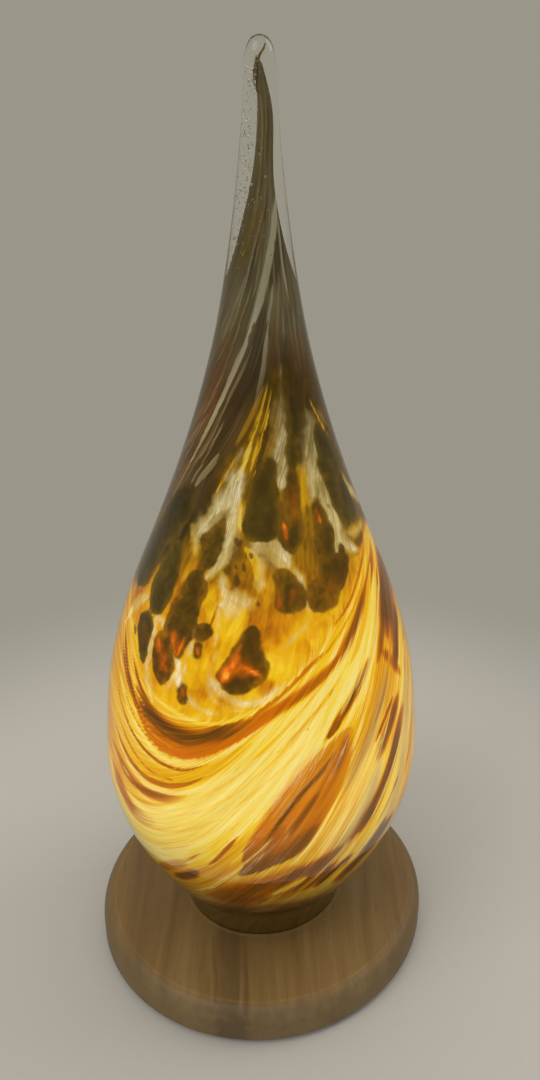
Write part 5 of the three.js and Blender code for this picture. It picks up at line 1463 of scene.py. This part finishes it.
def bubbles(count, seed):
    """Closed round air bubbles in the thick glass of the tip, as points and inward faces."""
    random = np.random.default_rng(seed)
    ball = bmesh.new()
    bmesh.ops.create_icosphere(ball, subdivisions=2, radius=1)
    unit = np.array([v.co for v in ball.verts])
    corners = [[v.index for v in reversed(f.verts[:])] for f in ball.faces]
    ball.free()
    outer_radii, outer_heights = np.array(outer_rows("glass_casing", ROW_STEP)).T
    points, faces, start = [], [], 0
    while start < count * len(unit):
        z = random.uniform(*BUBBLE_LEVELS) * MM
        outside = np.interp(z, outer_heights, outer_radii)
        inside = np.interp(z, core_heights, core_radii)
        size = random.uniform(*BUBBLE_SIZES) * MM
        room = (inside + size * 2, outside - size * 2.5)
        if room[1] <= room[0]:
            continue
        reach = random.uniform(*room)
        angle = math.radians(random.normal(*BUBBLE_SIDE))
        stretch = random.uniform(0.8, 2.4)
        centre = np.array([reach * math.sin(angle), -reach * math.cos(angle), z])
        points.append(unit * size * np.array([1, 1, stretch]) + centre)
        faces.extend([start + i for i in f] for f in corners)
        start += len(unit)
    return np.concatenate(points), faces


casing = mesh_object("clear_glass_casing", *turned(casing_profile, shade_sides(CASING_SIDES)),
                     clear_glass(), "shade", SHADE_SMOOTH)
bubble_points, bubble_faces = bubbles(BUBBLES, BUBBLE_SEED)
work = bmesh.new()
work.from_mesh(casing.data)
added = [work.verts.new(p) for p in bubble_points]
for face in bubble_faces:
    work.faces.new([added[i] for i in face]).smooth = True
work.to_mesh(casing.data)
work.free()
stands_for("glass_casing")


# Wood

def beech():
    look = Look("beech", IOR=1.45)
    place = look.place()
    offset = look.add("ShaderNodeCombineXYZ")
    look.put(offset.inputs[0], look.drift(look.noise(place, 14, 2), -0.0035, 0.0035, 0.2, 0.8))
    added = look.add("ShaderNodeVectorMath", operation="ADD")
    look.put(added.inputs[0], place)
    look.put(added.inputs[1], offset.outputs[0])
    bent = added.outputs[0]
    along = look.scaled(bent, (1, 0.06, 1))
    rings = look.noise(look.scaled(bent, (1, 0.045, 0.5)), 75, 4, 0.62)
    pores = look.noise(look.scaled(along, (1, 1.2, 1)), 900, 2, 0.6)
    streaks = look.noise(along, 260, 3, 0.6)
    tone = look.onto(rings, look.drift(streaks, -0.5, 0.5), 0.27)
    colour = look.ramp(tone, [(0.24, (124, 94, 50)), (0.5, (137, 106, 58)), (0.76, (148, 117, 68))])

    # the dark heart in front, the side painted greyer than the top that the lamp's glow warms,
    # and painted highlights on the edges round the seat and the shoulder
    x, y, _ = look.parts(bent)
    aside = look.plus(look.away(x, -0.0155), look.drift(streaks, -0.003, 0.003))
    heart = look.times(look.span(aside, 0.002, 0.01, 1, 0), look.span(y, -0.02, 0.0, 1, 0), 0.5)
    colour = look.mix(heart, colour, (86, 64, 36))
    reach = look.length(look.scaled(place, (1, 1, 0)))
    # painted light: the side cooled and greyed so that the top reads as warmed by the lamp's glow
    painted_cool_side = look.mix(1.0, colour, (222, 233, 252), "MULTIPLY")
    colour = look.mix(look.span(reach, 0.0735, 0.0785), colour, painted_cool_side)
    # painted highlights: light tan lines where the edge of the seat and the shoulder catch the light
    seat_edge_highlight = look.span(look.away(reach, 0.0398), 0.0, 0.0014, 0.3, 0)
    shoulder_highlight = look.span(look.away(reach, 0.0742), 0.0, 0.0011, 0.3, 0)
    shoulder_highlight = look.times(shoulder_highlight, look.span(rings, 0.4, 0.6, 0.4, 1))
    colour = look.mix(look.most(seat_edge_highlight, shoulder_highlight), colour, (176, 140, 84))
    colour = look.mix(look.times(look.span(pores, 0.6, 0.7), 0.22), colour, (80, 60, 34))
    look.set("Base Color", colour)
    look.set("Roughness", look.drift(streaks, 0.46, 0.62))
    look.bump(look.onto(streaks, pores, -0.6), 0.25, 0.0003)
    return look.material


def arc(centre, radii, start, end, count):
    """(radius, height) points of a quarter ellipse between two angles in degrees."""
    angles = np.radians(np.linspace(start, end, count))
    return [(centre[0] + radii[0] * math.cos(a), centre[1] + radii[1] * math.sin(a)) for a in angles]


WOOD_SIDES = 256
GAP = 0.3 * MM  # between the wood and what stands in it
SEAT_RADIUS = 38.6 * MM
SEAT_EASE = 0.25 * MM
POCKET_RADIUS = 33 * MM
BORE_RADIUS = 5.3 * MM
LOWER_ROUND = 1.8 * MM
SHOULDER = (5.5 * MM, 8 * MM)
EASE = 0.5 * MM

wood_low, wood_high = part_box("wooden_base")
wood_radius, wood_top, wood_floor = wood_high.x, wood_high.z, wood_low.z
cover_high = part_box("bottom_cover")[1]
recess, ledge = cover_high.x + GAP, cover_high.z + GAP
pocket_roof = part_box("washer")[1].z + GAP
seat_floor = casing_foot - GAP
wood_profile = (
    [(BORE_RADIUS, pocket_roof), (POCKET_RADIUS, pocket_roof), (POCKET_RADIUS, ledge)]
    + [(recess, ledge), (recess, wood_floor + EASE)]
    + arc((recess + EASE, wood_floor + EASE), (EASE, EASE), 180, 270, 5)
    + arc((wood_radius - LOWER_ROUND, wood_floor + LOWER_ROUND), (LOWER_ROUND, LOWER_ROUND), -90, 0, 14)
    + arc((wood_radius - SHOULDER[0], wood_top - SHOULDER[1]), SHOULDER, 0, 90, 24)
    + arc((SEAT_RADIUS + SEAT_EASE, wood_top - SEAT_EASE), (SEAT_EASE, SEAT_EASE), 90, 180, 5)
    + [(SEAT_RADIUS, seat_floor), (BORE_RADIUS, seat_floor)]
)
wood = mesh_object("turned_base", *turned(wood_profile, WOOD_SIDES, closed=True), beech(), "base")


def bore(piece, start, end, radius, level, sides=48):
    """Cuts a rod along Y out of the piece's mesh."""
    middle = Matrix.Translation((0, (start + end) / 2, level))
    work = bmesh.new()
    bmesh.ops.create_cone(
        work, cap_ends=True, segments=sides, radius1=radius, radius2=radius, depth=end - start,
        matrix=middle @ Vector((0, 1, 0)).to_track_quat("Z", "Y").to_matrix().to_4x4(),
    )
    mesh = bpy.data.meshes.new("rod")
    work.to_mesh(mesh)
    work.free()
    rod = linked("rod", mesh)
    modifier = piece.modifiers.new("cut", "BOOLEAN")
    modifier.operation, modifier.solver, modifier.object = "DIFFERENCE", "EXACT", rod
    with bpy.context.temp_override(object=piece, active_object=piece):
        bpy.ops.object.modifier_apply(modifier=modifier.name)
    bpy.data.objects.remove(rod)


bush_low, bush_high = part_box("cable_bush")
bush_level = (bush_low.z + bush_high.z) / 2
bore(wood, 20 * MM, 90 * MM, 4.3 * MM, bush_level)
bore(wood, 77.6 * MM, 90 * MM, 5.65 * MM, bush_level)
stands_for("wooden_base")


# Small pieces

def plain_look(name, colour, other, grain, rough, bump, stretch=(1, 1, 1), **inputs):
    """A finish of two close colours with grain in its colour, roughness and surface."""
    look = Look(name, **inputs)
    place = look.scaled(look.place(), stretch)
    coarse = look.noise(place, grain, 3, 0.55)
    fine = look.noise(place, grain * 5, 2)
    look.set("Base Color", look.mix(look.span(coarse, 0.3, 0.7), colour, other))
    look.set("Roughness", look.drift(fine, *rough))
    look.bump(look.onto(coarse, fine, 0.5), *bump)
    return look.material


def opal():
    look = Look("opal", Roughness=0.32, IOR=1.45)
    place = look.place()
    cloud = look.span(look.noise(place, 60, 3), 0.3, 0.7)
    height = look.span(look.parts(place)[2], 0.072, 0.1, 0.7, 1.0)
    look.set("Base Color", look.mix(cloud, (250, 240, 214), (244, 232, 204)))
    warm = look.mix(cloud, (255, 222, 150), (255, 214, 138))
    look.set("Emission Color", look.mix(1.0, warm, height, "MULTIPLY"))
    look.set("Emission Strength", 0.9)
    look.bump(look.noise(place, 500, 2), 0.1, 0.0001)
    return look.material


def board(name, colour, other, pad):
    """A laminate with a grid of pads."""
    look = Look(name, Roughness=0.45)
    place = look.place()
    cells = look.cells(place, 320)
    ground = look.mix(look.span(look.noise(place, 900, 2), 0.3, 0.7), colour, other)
    look.set("Base Color", look.mix(look.span(cells, 0.12, 0.2, 1, 0), ground, pad))
    look.bump(look.span(cells, 0.1, 0.22, 1, 0), 0.3, 0.0002)
    return look.material


# Slot: two colours, grain, roughness, strength and distance of the bump, further inputs
FINISHES = {
    "felt": ((58, 47, 40), (44, 36, 31), 900, (0.9, 1.0), (0.7, 0.0004), {"Sheen_Weight": 0.35}),
    "fibreboard": ((62, 53, 45), (50, 42, 36), 420, (0.7, 0.85), (0.35, 0.0003), {}),
    "black_plastic": ((26, 26, 27), (19, 19, 20), 700, (0.42, 0.55), (0.2, 0.0001), {}),
    "zinc_steel": ((190, 192, 194), (172, 175, 178), 260, (0.28, 0.42), (0.12, 0.0001),
                   {"stretch": (1, 1, 4), "Metallic": 1.0}),
    "brass": ((206, 168, 92), (186, 146, 74), 200, (0.26, 0.4), (0.12, 0.0001), {"Metallic": 1.0}),
    "nickel": ((204, 200, 192), (188, 184, 176), 240, (0.18, 0.3), (0.1, 0.0001), {"Metallic": 1.0}),
    "porcelain": ((240, 237, 229), (232, 228, 219), 130, (0.16, 0.26), (0.1, 0.0002),
                  {"Coat_Weight": 0.5}),
    "white_plastic": ((236, 234, 228), (229, 226, 219), 800, (0.36, 0.48), (0.12, 0.0001), {}),
    "black_glass": ((20, 19, 22), (30, 28, 32), 300, (0.08, 0.2), (0.15, 0.0001), {}),
    "solder": ((176, 176, 174), (154, 154, 152), 700, (0.3, 0.45), (0.5, 0.0002), {"Metallic": 1.0}),
}
LOOKS = {slot: plain_look(slot, *finish, **inputs) for slot, (*finish, inputs) in FINISHES.items()}
LOOKS["opal"] = opal()
LOOKS["led_board"] = board("led_board", (228, 230, 226), (216, 219, 214), (240, 204, 96))
LOOKS["driver_board"] = board("driver_board", (38, 92, 52), (30, 78, 44), (188, 178, 140))

FINE_SIDES = 96
CAD_SIDES = (16, 18, 24, 40, 48)  # facets of the circles in the CAD nodes
SAME = 2e-6  # metres: largest difference in level or radius between the ends of a facet
LEAST_RADIUS = 2e-4  # metres
TURN_ERROR = 0.004  # share by which a facet's angle may differ from its circle's
SMALL_SMOOTH = 32  # degrees
BEVEL_ANGLE = 40  # degrees


def flat_part(point, centre, flat):
    """The way from the centre to the point, and the same without its part along the axis."""
    away = point - centre
    across = away.copy()
    across[flat] = 0
    return away, across


def ring_edges(work, centre, flat):
    """Edges that are one facet of a circle about an axis, by the facets of that circle."""
    found = {}
    for edge in work.edges:
        (a, a_flat), (b, b_flat) = (flat_part(v.co, centre, flat) for v in edge.verts)
        if abs(a[flat] - b[flat]) > SAME or abs(a_flat.length - b_flat.length) > SAME:
            continue
        if min(a_flat.length, b_flat.length) < LEAST_RADIUS:
            continue
        turn = a_flat.angle(b_flat)
        for sides in CAD_SIDES:
            if abs(turn * sides / FULL_TURN - 1) < TURN_ERROR:
                found.setdefault(sides, []).append(edge)
    return found


def finer_circles(work, centre, flat):
    """Gives the circles about an axis at least FINE_SIDES sides, the new points on the circle."""
    for sides, edges in ring_edges(work, centre, flat).items():
        reach = work.verts.layers.float.new("reach")
        for vertex in {v for edge in edges for v in edge.verts}:
            vertex[reach] = flat_part(vertex.co, centre, flat)[1].length
        known = set(work.verts)
        cuts = -(-FINE_SIDES // sides) - 1
        bmesh.ops.subdivide_edges(work, edges=edges, cuts=cuts, use_grid_fill=True)
        for vertex in work.verts:
            if vertex in known or vertex[reach] <= 0:
                continue
            away, across = flat_part(vertex.co, centre, flat)
            vertex.co = centre + (away - across) + across * (vertex[reach] / across.length)
        work.verts.layers.float.remove(reach)


def refined(node, name, slot, axes, bevel):
    """A finer copy of a CAD node: circles with more sides, softened edges and its finish.

    Each axis is a point on it and the number of its direction, 1 for Y and 2 for Z.
    """
    work = bmesh.new()
    work.from_mesh(nodes[node].data)
    bmesh.ops.remove_doubles(work, verts=work.verts, dist=1e-7)
    bmesh.ops.dissolve_limit(work, angle_limit=math.radians(1), verts=work.verts, edges=work.edges)
    for centre, flat in axes:
        finer_circles(work, Vector(centre), flat)
    mesh = bpy.data.meshes.new(name)
    work.to_mesh(mesh)
    work.free()
    piece = finished(name, mesh, LOOKS[slot], nodes[node]["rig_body"], SMALL_SMOOTH)
    modifier = piece.modifiers.new("soft edges", "BEVEL")
    modifier.width, modifier.segments = bevel * MM, 2
    modifier.limit_method, modifier.angle_limit = "ANGLE", math.radians(BEVEL_ANGLE)
    stands_for(node)


def upright(*names):
    """The Z axes through the middles of the nodes."""
    middles = [sum(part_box(node), Vector()) / 2 for node in names]
    return [((middle.x, middle.y, 0), 2) for middle in middles]


MAIN_AXIS = [((0, 0, 0), 2)]
BUSH_AXIS = [((0, 0, bush_level), 1)]
cover_screws = [f"cover_screw_{i}" for i in (1, 2, 3)]
bracket_screws = ["bracket_screw_left", "bracket_screw_right"]
terminal_screws = ["live_terminal_screw", "neutral_terminal_screw"]

# Node, piece, slot, axes of its circles and width of its soft edges in mm
SMALL_PIECES = [
    ("bottom_cover", "fibre_cover", "fibreboard", MAIN_AXIS + upright(*cover_screws), 0.25),
    ("cable_bush", "bush", "black_plastic", BUSH_AXIS, 0.2),
    ("threaded_tube", "tube", "zinc_steel", MAIN_AXIS, 0.15),
    ("washer", "flat_washer", "zinc_steel", MAIN_AXIS, 0.12),
    ("lower_nut", "clamp_nut_lower", "brass", MAIN_AXIS, 0.25),
    ("upper_nut", "clamp_nut_upper", "brass", MAIN_AXIS, 0.25),
    ("holder_bracket", "bracket", "zinc_steel", MAIN_AXIS + upright(*bracket_screws), 0.2),
    ("holder_body", "porcelain_body", "porcelain",
     MAIN_AXIS + upright(*bracket_screws, *terminal_screws), 0.3),
    ("centre_contact", "contact_tongue", "brass", [], 0.08),
    ("side_contact", "contact_strip", "brass", [], 0.08),
    ("live_terminal", "terminal_front", "brass", upright("live_terminal"), 0.2),
    ("neutral_terminal", "terminal_back", "brass", upright("neutral_terminal"), 0.2),
    ("bulb_tip_contact", "tip_contact", "solder", MAIN_AXIS, 0.12),
    ("bulb_insulator", "cap_insulator", "black_glass", MAIN_AXIS, 0.12),
    ("bulb_housing", "housing", "white_plastic", MAIN_AXIS, 0.2),
    ("led_board", "light_board", "led_board", MAIN_AXIS, 0.12),
    ("driver_board", "driver", "driver_board", [], 0.15),
]
SMALL_PIECES += [(f"felt_pad_{i}", f"soft_pad_{i}", "felt", upright(f"felt_pad_{i}"), 0.35)
                 for i in (1, 2, 3, 4)]
SMALL_PIECES += [(n, n + "_fine", "zinc_steel", upright(n), 0.12)
                 for n in cover_screws + bracket_screws + terminal_screws]
for small_piece in SMALL_PIECES:
    refined(*small_piece)

# The thread that the bulb's cap and the holder's shell share
THREAD_DEPTH = 0.8 * MM
THREAD_PITCH = 2.822 * MM
THREAD_RUN_IN = 1.2 * MM
THREAD_ROW = 0.16 * MM
TURNED_SMOOTH = 40  # degrees


def threaded(node, name, profile, bottom, top, nearest, farthest):
    """A turned piece whose wall between two radii swings in and out once per pitch."""
    points, faces = turned(profile, FINE_SIDES, closed=True)
    x, y, z = points.T
    radius = np.hypot(x, y)
    swing = THREAD_DEPTH / 2 * np.cos(FULL_TURN * z / THREAD_PITCH - np.arctan2(y, x))
    run_in = np.clip(np.minimum(z - bottom, top - z) / THREAD_RUN_IN, 0, 1)
    here = (radius > nearest) & (radius < farthest) & (z >= bottom) & (z <= top)
    points[:, :2] *= np.where(here, 1 + run_in * swing / radius, 1)[:, None]
    piece = mesh_object(name, points, faces, LOOKS["nickel"], nodes[node]["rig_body"], TURNED_SMOOTH)
    stands_for(node)


def wall(radius, start, end):
    """Points of a threaded wall from one level to another."""
    count = int(round(abs(end - start) / THREAD_ROW)) + 1
    return [(radius, z) for z in np.linspace(start, end, count)]


SHELL_BORE = 7.15 * MM
SHELL_OUTER = 8.25 * MM
shell_foot, shell_top = (corner.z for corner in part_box("threaded_shell"))
shell_profile = [(SHELL_OUTER, shell_foot), (SHELL_OUTER, shell_top)]
shell_profile += wall(SHELL_BORE, shell_top, shell_foot)
threaded("threaded_shell", "screw_shell", shell_profile, shell_foot, shell_top, 6 * MM, 7.7 * MM)

CAP_RADIUS = 6.55 * MM
CAP_INNER = 5.8 * MM
CAP_WALL = 0.35 * MM
CAP_THREAD = 14 * MM
SKIRT_RADIUS = 8.2 * MM
SKIRT_ROUND = 0.2 * MM
FLARE = 1.6 * MM
cap_foot, cap_top = (corner.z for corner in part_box("bulb_screw_cap"))
thread_top = cap_foot + CAP_THREAD
flare_top = thread_top + FLARE
cap_profile = [(CAP_INNER, cap_foot)] + wall(CAP_RADIUS, cap_foot, thread_top)
cap_profile += [
    (SKIRT_RADIUS - SKIRT_ROUND, flare_top - SKIRT_ROUND / 2), (SKIRT_RADIUS, flare_top + SKIRT_ROUND),
    (SKIRT_RADIUS, cap_top), (SKIRT_RADIUS - CAP_WALL, cap_top),
    (SKIRT_RADIUS - CAP_WALL, flare_top + CAP_WALL), (CAP_INNER, thread_top + CAP_WALL),
]
threaded("bulb_screw_cap", "screw_cap", cap_profile, cap_foot, thread_top, 6.1 * MM, 6.9 * MM)

GLOBE_RADIUS = 22.5 * MM
GLOBE_WALL = 1.3 * MM
GLOBE_ROWS = 40
globe_foot, globe_top = (corner.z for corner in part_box("bulb_globe"))
globe_centre = globe_top - GLOBE_RADIUS


def globe_arc(radius):
    """Points of a sphere's outline from the globe's foot to its top."""
    start = math.asin((globe_foot - globe_centre) / radius)
    return [(radius * math.cos(turn), globe_centre + radius * math.sin(turn))
            for turn in np.linspace(start, math.pi / 2, GLOBE_ROWS)]


globe_profile = globe_arc(GLOBE_RADIUS - GLOBE_WALL)[::-1] + globe_arc(GLOBE_RADIUS)
globe = mesh_object("opal_globe", *turned(globe_profile, FINE_SIDES), LOOKS["opal"], "bulb",
                    TURNED_SMOOTH)
stands_for("bulb_globe")


# Camera, floor and light

CAMERA_PLACE = (0.0, -0.32063, 0.33026)
PITCH, YAW, ROLL = math.radians(21.72), math.radians(4.85), math.radians(-1.51)
SENSOR = 36.0
FOCAL_PIXELS = 800
LONG_SIDE = 1080
CENTRE_OFFSET = 55.36  # pixels
NEAREST = 0.01

forward = Vector((math.sin(YAW) * math.cos(PITCH), math.cos(YAW) * math.cos(PITCH), -math.sin(PITCH)))
right = Vector((math.cos(YAW), -math.sin(YAW), 0))
up = right.cross(forward)
level_right = right * math.cos(ROLL) - up * math.sin(ROLL)
level_up = right * math.sin(ROLL) + up * math.cos(ROLL)
camera_data = bpy.data.cameras.new("camera")
camera_data.sensor_fit = "AUTO"
camera_data.sensor_width = SENSOR
camera_data.lens = SENSOR * FOCAL_PIXELS / LONG_SIDE
camera_data.shift_x = -CENTRE_OFFSET / LONG_SIDE
camera_data.clip_start = NEAREST
camera = linked("camera", camera_data)
camera_turn = Matrix((level_right, level_up, -forward)).transposed().to_4x4()
camera.matrix_world = Matrix.Translation(CAMERA_PLACE) @ camera_turn
bpy.context.scene.camera = camera

BACKDROP = (155, 150, 138)
FLOOR = (200, 194, 182)
FLOOR_SHADE = (190, 184, 172)
FLOOR_REACH = 4.0
FLOOR_LEVEL = -0.0002
AMBIENT = [0.62, 0.62, 0.63, 1.0]  # linear


def floor_material():
    look = Look("floor", Roughness=0.6)
    place = look.place()
    grain = look.drift(look.noise(place, 300, 2), 0, 0.12)
    look.set("Base Color", look.mix(grain, FLOOR, FLOOR_SHADE))
    glow = look.add("ShaderNodeEmission")
    look.put(glow.inputs["Color"], linear(BACKDROP))
    blend = look.add("ShaderNodeMixShader")
    look.put(blend.inputs[0], look.times(look.span(look.length(place), 0.17, 0.42), look.camera_like()))
    look.put(blend.inputs[1], look.shader.outputs[0])
    look.put(blend.inputs[2], glow.outputs[0])
    look.put(look.output.inputs["Surface"], blend.outputs[0])
    return look.material


floor_mesh = bpy.data.meshes.new("floor")
corners = ((-1, -1), (1, -1), (1, 1), (-1, 1))
floor_mesh.from_pydata([(x * FLOOR_REACH, y * FLOOR_REACH, FLOOR_LEVEL) for x, y in corners], [],
                       [(0, 1, 2, 3)])
floor_mesh.materials.append(floor_material())
floor = linked("floor", floor_mesh)

world = bpy.data.worlds.new("world")
world.use_nodes = True
bpy.context.scene.world = world
sky = Nodes(world.node_tree)
background = world.node_tree.nodes["Background"]
sky.put(background.inputs["Color"], sky.mix(sky.camera_like(), AMBIENT, BACKDROP))
background.inputs["Strength"].default_value = 1.0


def soft_light(name, place, target, size, power):
    data = bpy.data.lights.new(name, "AREA")
    data.shape, data.size, data.energy = "SQUARE", size, power
    lamp = linked(name, data)
    lamp.location = place
    lamp.rotation_mode = "QUATERNION"
    lamp.rotation_quaternion = (Vector(target) - Vector(place)).to_track_quat("-Z", "Y")


soft_light("key", (-0.9, -0.7, 1.5), (0, 0, 0.15), 0.9, 7)
soft_light("fill", (1.1, 0.3, 1.3), (0, 0, 0.2), 0.8, 4)

bpy.context.scene.view_settings.view_transform = "Standard"
